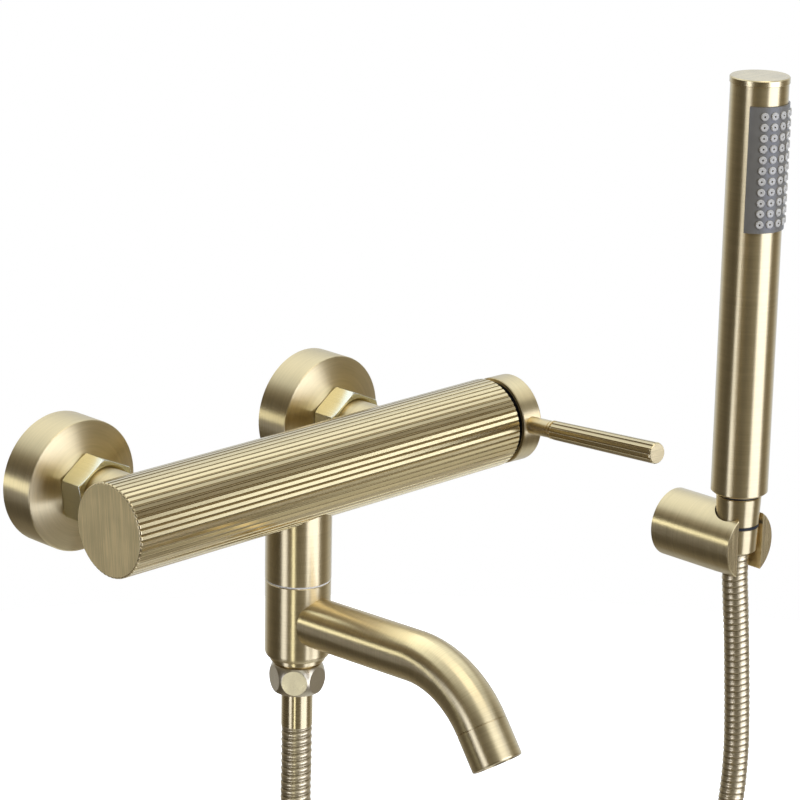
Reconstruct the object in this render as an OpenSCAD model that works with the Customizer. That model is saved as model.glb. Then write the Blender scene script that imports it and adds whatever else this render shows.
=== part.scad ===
// Wall bath mixer with a swinging spout, a hand shower, its hose and its wall holder.
// Facing the wall, X is to the right, Y goes into the wall and Z is up.
// The origin lies on the wall, halfway between the two inlets.

/* [Wall inlets] */
// distance between the two inlets
inlet_pitch = 150; // [146:1:154]
// outer diameter of the stud that screws into the wall fitting
stud_d = 20.8; // [20:0.2:22]
// length of that stud inside the wall
stud_len = 18; // [12:1:24]
// outer thread of the union that stands out of the wall
union_thread_d = 26.4; // [26:0.1:27]
// water bore of the union and of the inlet tail
inlet_bore_d = 15; // [13:0.5:17]
// diameter of the wall cover
flange_d = 59.2; // [54:0.5:66]
// depth of the cover's straight rim
flange_rim = 17.7; // [14:0.5:19]
// wall of the cover
flange_wall = 1.6; // [1:0.1:2.2]
// radius of the cover's domed front
flange_dome = 86; // [80:1:120]
// width across the flats of the union nut
nut_af = 29; // [28.6:0.2:31]
// gap between the cover and the union nut
nut_gap = 0.1; // [0.1:0.1:2]
// length of the union nut
nut_len = 12.6; // [11:0.2:15]
// outer diameter of the tail between nut and body
tail_d = 24.4; // [23:0.2:25]
// thickness of the sealing washers
washer_t = 1.5; // [1:0.1:2]

/* [Body] */
// distance of the body's axis from the wall
body_out = 71.2; // [68:0.2:76]
// diameter over the ridges
body_d = 41.7; // [41:0.1:44]
// number of flutes
flute_count = 52; // [40:1:64]
// depth of a flute
flute_depth = 0.55; // [0.3:0.05:0.8]
// end of the body left of the middle
body_left = 104.7; // [98:0.5:112]
// end of the body right of the middle
body_right = 125; // [122:0.5:128]
// wall of the fluted shell
shell_wall = 3; // [2.4:0.1:3.4]
// thickness of the closed left end
end_wall = 4; // [3:0.5:6]
// diameter of the long water channels
channel_d = 7.2; // [6:0.2:7.6]
// distance of the channels from the axis
channel_off = 8.6; // [8.2:0.1:9]

/* [Cartridge] */
// outer diameter of the cartridge
cartridge_d = 28.8; // [27:0.2:30]
// length of the cartridge
cartridge_len = 25; // [23:0.5:26]
// length of the ring nut that holds it
ring_nut_len = 5.5; // [4:0.5:6]
// wall of the cartridge round its two discs
cartridge_wall = 1.8; // [1.4:0.1:2]
// thickness of each ceramic disc
disc_t = 3.6; // [3:0.1:4]
// diameter of the turning carrier
carrier_d = 19; // [18:0.2:20]
// width of the tilting spindle
spindle_w = 7; // [6:0.2:7.4]

/* [Handle] */
// distance from the body's end back to the pivot
pivot_in = 3.3; // [3:0.1:3.6]
// distance from the pivot to the cap's near edge
cap_reach = 8; // [7.8:0.1:9]
// diameter of the cap
cap_d = 40.8; // [40:0.2:42]
// length of the cap
cap_len = 10.7; // [10:0.2:13]
// wall of the cap
cap_wall = 1.9; // [1.4:0.1:2.4]
// lean of the closed handle towards the body, in degrees
closed_lean = 5; // [3:0.5:6]
// rise of the lever above level, in degrees
lever_rise = 5.4; // [0:0.2:10]
// diameter of the lever's smooth neck
neck_d = 8.1; // [7.4:0.1:9]
// where the fluted grip starts, from the handle's axis
grip_start = 35.8; // [32:0.2:40]
// end of the lever, from the handle's axis
lever_end = 103.2; // [90:0.5:115]
// diameter of the grip at its start
grip_d = 8.9; // [8.4:0.1:9.6]
// diameter of the grip at its end
grip_end_d = 9.8; // [9:0.1:10.6]
// number of flutes round the grip
grip_flutes = 14; // [10:1:18]
// depth of a grip flute
grip_flute_depth = 0.5; // [0.3:0.05:0.7]

/* [Outlet] */
// place of the outlet column along the body
column_x = 4.6; // [0:0.2:10]
// diameter of the fixed upper sleeve
sleeve_d = 29.7; // [29:0.1:31]
// height of the seam between sleeve and hub, below the body's axis
seam_z = 47.3; // [45:0.1:50]
// thickness of the light ring in the seam
seam_t = 0.8; // [0.5:0.1:1.2]
// diameter of the turning hub
hub_d = 29.5; // [29:0.1:31]
// height of the hub
hub_h = 36.2; // [35:0.2:40]
// fixed stem that the hub turns on
stem_d = 20.4; // [19.6:0.1:20.8]
// water bore of the stem
stem_bore_d = 12; // [10:0.5:13]
// height of the collar under the hub
collar_h = 2; // [1.6:0.1:3]
// diameter of that collar
collar_d = 24.8; // [24:0.2:26]

/* [Spout] */
// height of the spout's axis below the body's axis, at the hub
spout_z = 65.9; // [64:0.1:67]
// rise of the spout's straight part, in degrees
spout_rise = 2.1; // [0:0.1:4]
// length from the column's axis to the bend
spout_run = 74.5; // [60:0.5:90]
// radius of the bend
spout_bend_r = 47; // [40:1:60]
// angle of the bend
spout_bend = 57.3; // [50:0.5:66]
// outer diameter of the spout
spout_d = 22.8; // [21:0.2:24]
// wall of the spout
spout_wall = 1.6; // [1.2:0.1:2]
// length of the end sleeve
mouth_len = 17.6; // [14:0.2:22]

/* [Hose] */
// outer diameter of the hose over its ribs
hose_d = 14; // [13:0.1:14]
// water bore of the hose
hose_bore_d = 8.6; // [7:0.2:9]
// distance between two ribs
rib_pitch = 3.5; // [3.5:0.1:5]
// depth of the groove between ribs
rib_depth = 0.9; // [0.5:0.1:1.2]
// diameter of the smooth sleeves at the hose's ends
ferrule_d = 14.2; // [14:0.1:14.4]
// gap between the collar and the nut at the mixer
hose_nut_gap = 1.3; // [0.5:0.1:2]
// height of the nut at the mixer
hose_nut_h = 13; // [12:0.2:14]
// diameter over the nut's rounded corners
hose_nut_d = 25.4; // [25:0.1:26]
// width across that nut's six round facets
hose_nut_af = 22.6; // [22.4:0.1:23.6]
// length of the sleeve below the nut
ferrule_len = 17.1; // [14:0.5:20]

/* [Wall holder] */
// place of the holder and the hand shower right of the middle
holder_x = 348.3; // [343:0.5:353]
// height of the holder's axis below the body's axis
holder_z = 118.7; // [118.2:0.1:119.2]
// diameter of the holder
holder_d = 37; // [36:0.2:40]
// distance of the holder's front from the wall
holder_out = 52.8; // [52:0.1:54]
// distance of the hand shower's axis from the wall
seat_out = 43.7; // [43:0.1:44]
// width of the front slot
slot_w = 19.8; // [18:0.2:20.6]
// depth of the recess for the wall plate
plate_recess = 8; // [7:0.5:10]
// distance between the plate's two screw holes
screw_pitch = 16; // [14:0.5:18]
// diameter of the screws that the holes take
screw_d = 4; // [3.5:0.1:4.2]

/* [Hand shower] */
// diameter of the hand shower
hand_d = 30.1; // [29.6:0.1:30.6]
// lower end of its tube, from the body's axis
hand_low = -90.8; // [-91:0.1:-90.6]
// length of the tube above the spray plate
hand_over = 9.9; // [8:0.1:22]
// wall of its tube
hand_wall = 1.5; // [1.2:0.1:1.8]
// diameter of the top cap
top_cap_d = 31; // [30.8:0.1:32]
// height of the top cap's rim
top_cap_h = 3.4; // [2.5:0.1:5]
// middle of the spray plate, from the body's axis
plate_z = 85.3; // [80:0.5:88]
// height of the spray plate
plate_h = 65.4; // [60:0.2:68]
// angle of the spray plate round the tube
plate_angle = 135; // [124:1:140]
// how far the plate stands proud of the tube
plate_proud = 0.9; // [0.4:0.1:1.3]
// number of rows of nozzles
rows = 11; // [8:1:11]
// distance between rows
row_pitch = 5.6; // [5:0.1:5.8]
// number of nozzles round the plate
columns = 5; // [3:1:5]
// angle between nozzles round the plate
column_angle = 19.5; // [17:0.5:22]
// diameter of a nozzle's face
nozzle_d = 4.1; // [3.4:0.1:4.4]
// top of the cone nut, from the body's axis
cone_top = -92.5; // [-93:0.1:-92.2]
// bottom of the cone nut
cone_low = -123; // [-124:0.1:-122.6]
// diameter at the cone's top
cone_d = 23.8; // [23.4:0.1:24]
// diameter at the cone's bottom
cone_low_d = 20.8; // [20.4:0.1:21]

/* [Hidden] */
$fn = 48;

// running gap between pieces that turn or slide, on the radius
fit = 0.05;
// gap between two seated pieces of one body
seat = 0.02;
// thickness of the soft mat behind the spray plate
mat_t = 0.7;

body_r = body_d / 2;
root_r = body_r - flute_depth;
shell_r = root_r - shell_wall;
core_r = shell_r - fit;

cover_drop = sqrt(pow(flange_dome, 2) - pow(flange_d / 2, 2));
cover_hole_r = union_thread_d / 2 + fit;
cover_top = flange_rim - cover_drop + sqrt(pow(flange_dome, 2) - pow(cover_hole_r, 2));
nut_back = cover_top + nut_gap;
union_end = nut_back + 5.5;
tail_lip = 2;
tail_lip_d = union_thread_d - 0.2;
tail_start = union_end + washer_t;
tail_stop = body_out - core_r - 0.35;

core_end = body_right - ring_nut_len - cartridge_len - 8.5;
seal_t = 1.2;
cartridge_start = core_end + seal_t;
cartridge_stop = cartridge_start + cartridge_len;
ring_nut_stop = cartridge_stop + ring_nut_len;
disc_r = cartridge_d / 2 - cartridge_wall - fit;
disc_meet = cartridge_start + seat + disc_t + fit;
disc_stop = disc_meet + disc_t;
port_up = channel_off * sin(43);
port_out = channel_off * cos(43);
ports = [[port_out, port_up], [port_out, -port_up], [-port_out, -port_up + 1]];
slot_back = 9;

pivot_x = body_right - pivot_in;
cap_r = cap_d / 2;
cap_mid = cap_reach + cap_len / 2;
insert_r = cap_r - cap_wall - seat;
insert_near = cap_reach + 0.9;
insert_far = cap_reach + cap_len - 2.5;

hub_r = hub_d / 2;
hub_top = -seam_z - seam_t / 2 - 0.1;
hub_low = hub_top - hub_h;
stem_r = stem_d / 2;
stem_top = -(core_r + 0.3);
chamber_h = 18;
chamber_r = hub_r - 2;
collar_top = hub_low - 0.1;
collar_low = collar_top - collar_h;
nut_top = collar_low - hose_nut_gap;
hose_nut_low = nut_top - hose_nut_h;
nut_mid = nut_top - hose_nut_h / 2;
lip_t = 1.7;
nut_floor = 1.1;
nut_turn = 10;
ferrule_lip_low = hose_nut_low + nut_floor + seat;
ferrule_lip_top = ferrule_lip_low + lip_t;
stem_low = ferrule_lip_top + washer_t + 2 * seat;
ferrule_low = hose_nut_low - ferrule_len;

hand_top = plate_z + plate_h / 2 + hand_over;
plug_h = 6;
chamber_rim = 3;
water_tube_d = 16;
water_tube_bore = 10;
connector_rise = 10.6;
ring_groove_h = 2;
ring_groove_z = cone_top - 16.1;

cone_rate = (cone_d - cone_low_d) / 2 / (cone_top - cone_low);
thread_r = 10.3;
connector_low = cone_top - 10.4;
hand_washer_low = connector_low - washer_t - seat;
hose_end_top = hand_washer_low - seat;
hose_end_lip = 2;

// The hose: 15 points on each leg, chosen by hand, and one and a half turns between.
coil_x = 230;
coil_z = -403;
coil_r = 84;
coil_turns = 1.5;
coil_y = -71.2;
coil_pitch = 15;
coil_start = 180;
coil_steps = 24;
leg_mixer = [
    [4.6, -71.2, -117], [4.6, -71.2, -135], [4.6, -71.2, -158], [8, -71.2, -180.5],
    [18, -71.2, -203], [33.5, -71.2, -225.5], [53.5, -71.2, -248], [75.5, -71.2, -270.5],
    [97, -71.2, -293], [117, -71.2, -315.5], [132.5, -71.2, -338], [142.5, -71.2, -360.5],
    [145.6, -71.2, -376], [146, -71.2, -388], [146, -71.2, -403]
];
leg_handset = [
    [348.3, -43.7, -123], [348.3, -43.7, -137], [349.2, -44.6, -155], [350.2, -45.6, -175],
    [351, -46.4, -195], [351.7, -47.1, -215], [351.8, -47.8, -238], [349.5, -48.3, -262],
    [343.6, -48.6, -286], [335.5, -48.7, -309], [327.5, -48.7, -331], [320.6, -48.7, -352],
    [315.8, -48.7, -373], [314.1, -48.7, -388], [314, -48.7, -403]
];

// points round a fluted section, ridges on the radius r
function fluted(r, depth, count) = [
    for (i = [0:count - 1], p = [[0, 0], [0.55, 0], [0.66, 0.85], [0.775, 1], [0.89, 0.85]])
        let (a = 360 * (i + p[0]) / count, q = r - depth * p[1])
        [q * cos(a), q * sin(a)]
];

// a smooth curve through the points of a route, t from 0 to the last index
function route_at(pts, t) = let (
    n = len(pts) - 1,
    i = min(n - 1, floor(t)),
    f = t - i,
    b = pts[i],
    c = pts[i + 1],
    a = i == 0 ? 2 * b - c : pts[i - 1],
    d = i == n - 1 ? 2 * c - b : pts[i + 2]
) 0.5 * (2 * b + (c - a) * f + (2 * a - 5 * b + 4 * c - d) * f * f
    + (3 * b - 3 * c + d - a) * f * f * f);

function unit(v) = v / norm(v);
function route_len(pts, t, u, n) = n == 0 ? 0 :
    norm(route_at(pts, t + (u - t) / n) - route_at(pts, t)) + route_len(pts, t + (u - t) / n, u, n - 1);

// running lengths at each point of a route, and the place at a given length
function running(pts, i = 1, sum = [0]) = i == len(pts) ? sum :
    running(pts, i + 1, concat(sum, [sum[i - 1] + route_len(pts, i - 1, i, 6)]));
function place_of(sums, s, i = 0) = i >= len(sums) - 2 || s < sums[i + 1] ?
    i + min(1, (s - sums[i]) / (sums[i + 1] - sums[i])) : place_of(sums, s, i + 1);

// a ring of n points of radius r round p, square to the direction d, kept upright by side
function ring_at(p, d, r, n, side) = let (
    u = unit(cross(d, side)),
    v = unit(cross(u, d))
) [for (k = [0:n - 1]) p + r * (cos(360 * k / n) * v + sin(360 * k / n) * u)];

// A leg of ribbed hose: two rings a rib outside and a plain bore inside, both ends plain.
module ribbed_leg(pts) {
    sums = running(pts);
    total = sums[len(sums) - 1];
    ribs = floor((total - 2 * hose_d * 0.5) / rib_pitch);
    start = (total - ribs * rib_pitch) / 2;
    side = [0, 1, 0];
    outer_s = concat([0], [for (k = [0:2 * ribs]) start + k * rib_pitch / 2], [total]);
    outer_r = concat([hose_d / 2 - rib_depth],
        [for (k = [0:2 * ribs]) hose_d / 2 - (k % 2 == 0 ? rib_depth : 0)],
        [hose_d / 2 - rib_depth]);
    inner_n = ceil(total / hose_d / 0.6);
    inner_s = [for (k = [0:inner_n]) total * k / inner_n];
    function dir_at(s) = let (
        a = route_at(pts, place_of(sums, max(0, s - 1))),
        b = route_at(pts, place_of(sums, min(total, s + 1)))
    ) unit(b - a);
    function end_dir(s) = s < 0.01 || s > total - 0.01 ? [0, 0, -1] : dir_at(s);
    n = 8;
    outer = [for (k = [0:len(outer_s) - 1])
        ring_at(route_at(pts, place_of(sums, outer_s[k])), sign(dir_at(outer_s[k])[2]) * -1
            * end_dir(outer_s[k]), outer_r[k], n, side)];
    inner = [for (k = [0:inner_n])
        ring_at(route_at(pts, place_of(sums, inner_s[k])), sign(dir_at(inner_s[k])[2]) * -1
            * end_dir(inner_s[k]), hose_bore_d / 2, n, side)];
    points = [for (r = outer, p = r) p, for (r = inner, p = r) p];
    m = len(outer);
    q = len(inner);
    base = m * n;
    faces = concat(
        [for (i = [0:m - 2], k = [0:n - 1], t = [0, 1]) let (
            a = i * n + k, b = i * n + (k + 1) % n, c = a + n, d = b + n
        ) t == 0 ? [a, b, d] : [a, d, c]],
        [for (i = [0:q - 2], k = [0:n - 1], t = [0, 1]) let (
            a = base + i * n + k, b = base + i * n + (k + 1) % n, c = a + n, d = b + n
        ) t == 0 ? [a, d, b] : [a, c, d]],
        [for (k = [0:n - 1], t = [0, 1]) let (
            a = k, b = (k + 1) % n, c = base + k, d = base + (k + 1) % n
        ) t == 0 ? [a, d, b] : [a, c, d]],
        [for (k = [0:n - 1], t = [0, 1]) let (
            a = (m - 1) * n + k, b = (m - 1) * n + (k + 1) % n,
            c = base + (q - 1) * n + k, d = base + (q - 1) * n + (k + 1) % n
        ) t == 0 ? [a, b, d] : [a, d, c]]
    );
    echo(ribs = ribs, leg_length = total);
    polyhedron(points, faces);
}

// the centre line of the coil, from the mixer's leg down, round and up to the other leg
function coil_point(t) = let (a = coil_start + 360 * t) [
    coil_x + coil_r * cos(a),
    coil_y + coil_pitch * t,
    coil_z + coil_r * sin(a)
];
coil_count = coil_turns * coil_steps;
coil_line = [for (k = [0:coil_count]) coil_point(k / coil_steps)];
coil_length = coil_turns * sqrt(pow(2 * PI * coil_r, 2) + pow(coil_pitch, 2));
coil_gap = min([for (i = [0:coil_count], j = [0:coil_count])
    if (j - i > coil_steps / 3) norm(coil_line[i] - coil_line[j])]) - hose_d;
leg_gap = min([for (p = leg_mixer, k = [coil_steps / 2:coil_count]) norm(p - coil_line[k])]) - hose_d;
other_gap = min([for (p = leg_handset, k = [0:coil_count - coil_steps / 2])
    norm(p - coil_line[k])]) - hose_d;
echo(least_gap_of_coil = coil_gap, least_gap_to_mixer_leg = leg_gap, least_gap_to_handset_leg = other_gap);
echo(coil_length = coil_length);

// a hexagonal nut along local Z with both ends turned to a chamfer
module hex_nut(af, h, bevel) {
    corner = af / 2 / cos(30);
    intersection() {
        linear_extrude(h) circle(r = corner, $fn = 6);
        rotate_extrude() polygon([
            [0, 0], [corner - 2 * bevel, 0], [corner, bevel], [corner, h - bevel],
            [corner - 2 * bevel, h], [0, h]
        ]);
    }
}

module tube(d_out, d_in, h) {
    difference() {
        cylinder(d = d_out, h = h);
        translate([0, 0, -1]) cylinder(d = d_in, h = h + 2);
    }
}

// places: local Z goes out of the wall, along the body, or down the column
module from_wall(x, y, z = 0) {
    translate([x, -y, z]) rotate([90, 0, 0]) children();
}
module along_body(x) {
    translate([x, -body_out, 0]) rotate([0, 90, 0]) children();
}
module at_column(z) {
    translate([column_x, -body_out, z]) children();
}
module at_hand(z) {
    translate([holder_x, -seat_out, z]) children();
}
// the handle turns about the body's axis, then leans about its own pivot
module turned() {
    translate([pivot_x, -body_out, 0]) rotate([-lever_rise, 0, 0]) children();
}
module leaned() {
    turned() rotate([0, 0, -closed_lean]) children();
}

module wall_union(x) {
    color("darkgoldenrod") from_wall(x, 0) difference() {
        union() {
            translate([0, 0, -stud_len]) cylinder(d = stud_d, h = stud_len + 1);
            cylinder(d = stud_d + 3, h = 4);
            translate([0, 0, 3]) cylinder(d = union_thread_d, h = union_end - 3);
        }
        translate([0, 0, -stud_len - 1]) cylinder(d = inlet_bore_d, h = stud_len + union_end + 2);
    }
}

module flange(x) {
    r = flange_d / 2;
    inner = r - flange_wall;
    color("goldenrod") from_wall(x, 0) difference() {
        union() {
            cylinder(r = r, h = flange_rim);
            intersection() {
                translate([0, 0, flange_rim - cover_drop]) sphere(r = flange_dome, $fn = 96);
                translate([0, 0, flange_rim - 0.5]) cylinder(r = r, h = 12);
            }
        }
        translate([0, 0, -1]) cylinder(r = inner, h = flange_rim);
        intersection() {
            translate([0, 0, flange_rim - cover_drop - flange_wall]) sphere(r = flange_dome, $fn = 96);
            translate([0, 0, flange_rim - 2]) cylinder(r = inner, h = 12);
        }
        cylinder(r = cover_hole_r, h = 40);
    }
}

module union_washer(x) {
    color("black") from_wall(x, union_end + seat) tube(tail_lip_d, inlet_bore_d + 1, washer_t - 2 * seat);
}

module union_nut(x) {
    h = nut_len;
    color("gold") from_wall(x, nut_back) rotate([0, 0, -24.5]) difference() {
        hex_nut(nut_af, h, 0.75);
        translate([0, 0, -1]) cylinder(d = union_thread_d + 2 * fit,
            h = tail_start + tail_lip + seat - nut_back + 1);
        translate([0, 0, -1]) cylinder(d = tail_d + 2 * fit, h = h + 2);
        translate([0, 0, h - 1.2]) cylinder(d1 = tail_d + 2 * fit, d2 = tail_d + 2.6, h = 1.21);
    }
}

module inlet_tail(x) {
    color("goldenrod") from_wall(x, tail_start) difference() {
        union() {
            cylinder(d = tail_lip_d, h = tail_lip);
            cylinder(d = tail_d - 0.02, h = tail_stop - tail_start);
        }
        translate([0, 0, -1]) cylinder(d = inlet_bore_d, h = tail_stop);
    }
}

module body_shell() {
    length = body_left + body_right;
    color("goldenrod") difference() {
        along_body(-body_left) linear_extrude(length) polygon(fluted(body_r, flute_depth, flute_count));
        along_body(-body_left + end_wall) cylinder(r = shell_r, h = length);
        for (x = [-1, 1] * inlet_pitch / 2)
            from_wall(x, body_out - body_r - 2) cylinder(d = tail_d, h = body_r);
        at_column(-body_r - 2) cylinder(r = stem_r + fit, h = body_r);
    }
}

// hot and cold run to the cartridge on the wall side, mixed water runs back to the column
module waterway_core() {
    left = -body_left + end_wall + 0.2;
    half = inlet_pitch / 2;
    inlet_depth = core_r - port_out + 2;
    color("peru") difference() {
        along_body(left) cylinder(r = core_r, h = core_end - left);
        at_port(0, -half) cylinder(d = channel_d, h = half + core_end + 1);
        at_port(1, half) cylinder(d = channel_d, h = core_end - half + 1);
        at_port(2, column_x) cylinder(d = channel_d, h = core_end - column_x + 1);
        translate([-half, -body_out + port_out, port_up - 2]) rotate([-90, 0, 0])
            cylinder(d = channel_d, h = inlet_depth);
        translate([half, -body_out + port_out, -port_up + 2]) rotate([-90, 0, 0])
            cylinder(d = channel_d, h = inlet_depth);
        translate([column_x, -body_out - port_out + 4, -core_r - 1])
            cylinder(d = channel_d, h = core_r + 2 - port_up);
    }
}

// local Z runs along the body through one of the three channels
module at_port(i, x) {
    translate([x, -body_out + ports[i][0], ports[i][1]]) rotate([0, 90, 0]) children();
}

module cartridge_seals() {
    color("black") for (i = [0:2])
        at_port(i, core_end + seat) tube(channel_d + 3, channel_d, seal_t - 2 * seat);
}

module cartridge_body() {
    color("ivory") difference() {
        along_body(cartridge_start) cylinder(d = cartridge_d, h = cartridge_len);
        along_body(cartridge_start - 1) cylinder(r = disc_r + fit, h = 1 + disc_stop + 0.3 - cartridge_start);
        along_body(cartridge_start) cylinder(r = carrier_d / 2 + 0.35, h = 40);
    }
}

module fixed_disc() {
    color("white") difference() {
        along_body(cartridge_start + seat) cylinder(r = disc_r, h = disc_t);
        for (i = [0:2])
            at_port(i, cartridge_start - 1) cylinder(d = channel_d - 1.6, h = disc_t + 2);
    }
}

// the moving disc joins the ports through a blind pocket in its face
module moving_disc() {
    color("white") difference() {
        along_body(disc_meet) cylinder(r = disc_r - 0.7, h = disc_t - seat);
        along_body(disc_meet - 1) cylinder(r = disc_r - 4, h = 1 + disc_t / 2);
    }
}

module cartridge_ring_nut() {
    color("peru") along_body(cartridge_stop + seat)
        tube(2 * shell_r - 2 * fit, carrier_d + 2, ring_nut_len - 2 * seat);
}

module mouth_ring() {
    color("black") along_body(ring_nut_stop)
        tube(2 * shell_r - 2 * fit, carrier_d + 3.2, body_right - 0.4 - ring_nut_stop);
}

module cartridge_carrier() {
    slot_h = spindle_w + 0.6;
    color("white") turned() difference() {
        translate([disc_stop - pivot_x, 0, 0]) rotate([0, 90, 0])
            cylinder(d = carrier_d, h = body_right - 0.6 - disc_stop);
        translate([-slot_back, -carrier_d, -slot_h / 2]) cube([40, 2 * carrier_d, slot_h]);
        translate([0, 0, -carrier_d]) cylinder(d = 3, h = 2 * carrier_d);
    }
}

module spindle_pin() {
    color("silver") turned() translate([0, 0, -carrier_d / 2 + 1]) cylinder(d = 3 - 2 * fit, h = carrier_d - 2);
}

module handle_spindle() {
    w = spindle_w;
    color("silver") leaned() difference() {
        union() {
            translate([-slot_back + 1.2, -w / 2 + 0.5, -w / 2])
                cube([slot_back - 1.2 + insert_far - 1.5, w - 1, w]);
            translate([0, 0, -w / 2]) cylinder(d = w, h = w);
        }
        translate([0, 0, -w]) cylinder(d = 3, h = 2 * w);
    }
}

module cap_insert() {
    w = spindle_w;
    color("black") leaned() difference() {
        translate([insert_near, 0, 0]) rotate([0, 90, 0])
            cylinder(r = insert_r, h = insert_far - seat - insert_near);
        translate([0, -w / 2 + 0.45, -w / 2 - fit])
            cube([insert_far - 1.4, w - 0.9, w + 2 * fit]);
        translate([cap_mid - 0.4, 0, 0]) rotate([90, 0, 0]) cylinder(r = 3 + fit, h = cap_r);
        translate([cap_mid - 0.4, 0, -cap_r]) cylinder(r = 2 + fit, h = cap_r - w / 2);
    }
}

module handle_cap() {
    edge = 0.7;
    inner = cap_r - cap_wall;
    color("goldenrod") leaned() difference() {
        translate([cap_reach, 0, 0]) rotate([0, 90, 0]) rotate_extrude() polygon([
            [0, 0], [cap_r - 0.4, 0], [cap_r, 0.4], [cap_r, cap_len - edge],
            [cap_r - 0.3 * edge, cap_len - 0.3 * edge], [cap_r - edge, cap_len], [0, cap_len]
        ]);
        translate([cap_reach - 1, 0, 0]) rotate([0, 90, 0])
            cylinder(r = inner, h = insert_far - cap_reach + 1);
        translate([cap_mid - 0.4, 0, 0]) rotate([90, 0, 0]) cylinder(r = 3 + fit, h = cap_r + 1);
        translate([cap_mid - 0.4, 0, -cap_r - 1]) cylinder(r = 2 + fit, h = cap_r - spindle_w / 2);
    }
}

module handle_grub_screw() {
    color("dimgray") leaned() translate([cap_mid - 0.4, 0, -cap_r + 0.8]) difference() {
        cylinder(r = 2, h = cap_r - 0.8 - spindle_w / 2 - 2 * fit);
        translate([0, 0, -1]) cylinder(d = 2.2, h = 3, $fn = 6);
    }
}

// the neck's foot follows the round side of the cap
module lever_neck() {
    color("goldenrod") leaned() translate([cap_mid - 0.4, 0, 0]) union() {
        difference() {
            rotate([90, 0, 0]) rotate_extrude() polygon([
                [0, cap_r - 4], [neck_d / 2, cap_r - 4], [neck_d / 2, grip_start - 2.4],
                [neck_d / 2 - 0.35, grip_start - 2.3], [neck_d / 2 - 0.35, grip_start - 1.7],
                [grip_d / 2 - 0.1, grip_start - 1.5], [grip_d / 2 - 0.1, grip_start - 0.4],
                [neck_d / 2 - 0.3, grip_start - 0.3], [neck_d / 2 - 0.3, grip_start], [0, grip_start]
            ]);
            translate([-20, 0, 0]) rotate([0, 90, 0]) cylinder(r = cap_r + seat, h = 40);
        }
        rotate([90, 0, 0]) translate([0, 0, cap_r - 9]) cylinder(r = 3, h = 10);
    }
}

module lever_grip() {
    length = lever_end - grip_start - seat;
    color("gold") leaned() translate([cap_mid - 0.4, 0, 0]) rotate([90, 0, 0])
        translate([0, 0, grip_start + seat]) intersection() {
            linear_extrude(length, scale = grip_end_d / grip_d)
                polygon(fluted(grip_d / 2, grip_flute_depth, grip_flutes));
            rotate_extrude() polygon([
                [0, 0], [grip_d / 2 - 0.4, 0], [grip_d / 2 + 0.2, 0.6], [grip_end_d / 2 + 0.2, length - 0.8],
                [grip_end_d / 2 - 0.6, length], [0, length]
            ]);
        }
}

module outlet_sleeve() {
    low = -seam_z + seam_t / 2;
    color("goldenrod") difference() {
        at_column(low) cylinder(d = sleeve_d, h = -low - 4);
        at_column(low - 1) cylinder(r = stem_r + fit, h = 2 - low);
        along_body(column_x - sleeve_d) cylinder(r = body_r + seat, h = 2 * sleeve_d);
    }
}

module outlet_stem() {
    port = 5.5;
    groove = 1.7;
    color("peru") difference() {
        at_column(stem_low) cylinder(r = stem_r, h = stem_top - stem_low);
        at_column(stem_low - 1) cylinder(d = stem_bore_d, h = stem_top - stem_low + 2);
        for (z = [hub_top - 4, hub_low + 4])
            at_column(z - 1.2) difference() {
                cylinder(r = stem_r + 1, h = 2.4);
                translate([0, 0, -1]) cylinder(r = stem_r - groove, h = 5);
            }
        for (a = [0, 90])
            at_column(-spout_z) rotate([90, 0, a]) translate([0, 0, -stem_r - 1])
                cylinder(d = port, h = 2 * stem_r + 2);
    }
}

module stem_o_rings() {
    section = 0.82;
    color("black") for (z = [hub_top - 4, hub_low + 4])
        at_column(z) rotate_extrude() translate([stem_r - section - 0.01, 0]) circle(r = section);
}

module seam_ring() {
    color("white") at_column(-seam_z - seam_t / 2) tube(hub_d - 0.3, stem_d + 2 * fit, seam_t - seat);
}

module spout_hub() {
    round_h = 2.6;
    round_in = 1.7;
    mid = -spout_z;
    color("goldenrod") difference() {
        at_column(hub_low) rotate_extrude() polygon([
            [0, 0], [hub_r - round_in - 0.4, 0], [hub_r - 0.45 * round_in, 0.28 * round_h],
            [hub_r - 0.13 * round_in, 0.62 * round_h], [hub_r, round_h], [hub_r, hub_h - 0.3],
            [hub_r - 0.3, hub_h], [0, hub_h]
        ]);
        at_column(hub_low - 1) cylinder(r = stem_r + fit, h = hub_h + 2);
        at_column(mid - chamber_h / 2) cylinder(r = chamber_r, h = chamber_h);
        at_column(mid) rotate([90, 0, 0]) cylinder(r = 6, h = hub_r + 1);
    }
}

// a keyed sleeve turns with the hub and opens or covers the ports of the stem
module diverter_sleeve() {
    color("ivory") difference() {
        at_column(-spout_z - chamber_h / 2 + 0.1) tube(2 * chamber_r - 2 * fit, stem_d + 2 * fit, chamber_h - 0.2);
        at_column(-spout_z) rotate([90, 0, 0]) cylinder(r = 5, h = hub_r + 1);
    }
}

// the spout's own plane: local X out from the column, local Y up
module spout_plane() {
    at_column(-spout_z) rotate([90, 0, -90]) rotate([0, 0, spout_rise]) children();
}
// the end of the bend, local Z along the water
module spout_end() {
    spout_plane() translate([spout_run, -spout_bend_r, 0]) rotate([0, 0, 90 - spout_bend])
        translate([spout_bend_r, 0, 0]) rotate([90, 0, 0]) children();
}

module spout_tube() {
    r = spout_d / 2;
    inner = r - spout_wall;
    color("goldenrod") difference() {
        spout_plane() union() {
            rotate([0, 90, 0]) tube(2 * r, 2 * inner, spout_run);
            translate([spout_run, -spout_bend_r, 0]) rotate([0, 0, 90]) mirror([0, 1, 0])
                rotate_extrude(angle = spout_bend) translate([spout_bend_r, 0]) difference() {
                    circle(r = r);
                    circle(r = inner);
                }
        }
        at_column(-spout_z - 30) cylinder(r = hub_r + seat, h = 60);
    }
}

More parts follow.
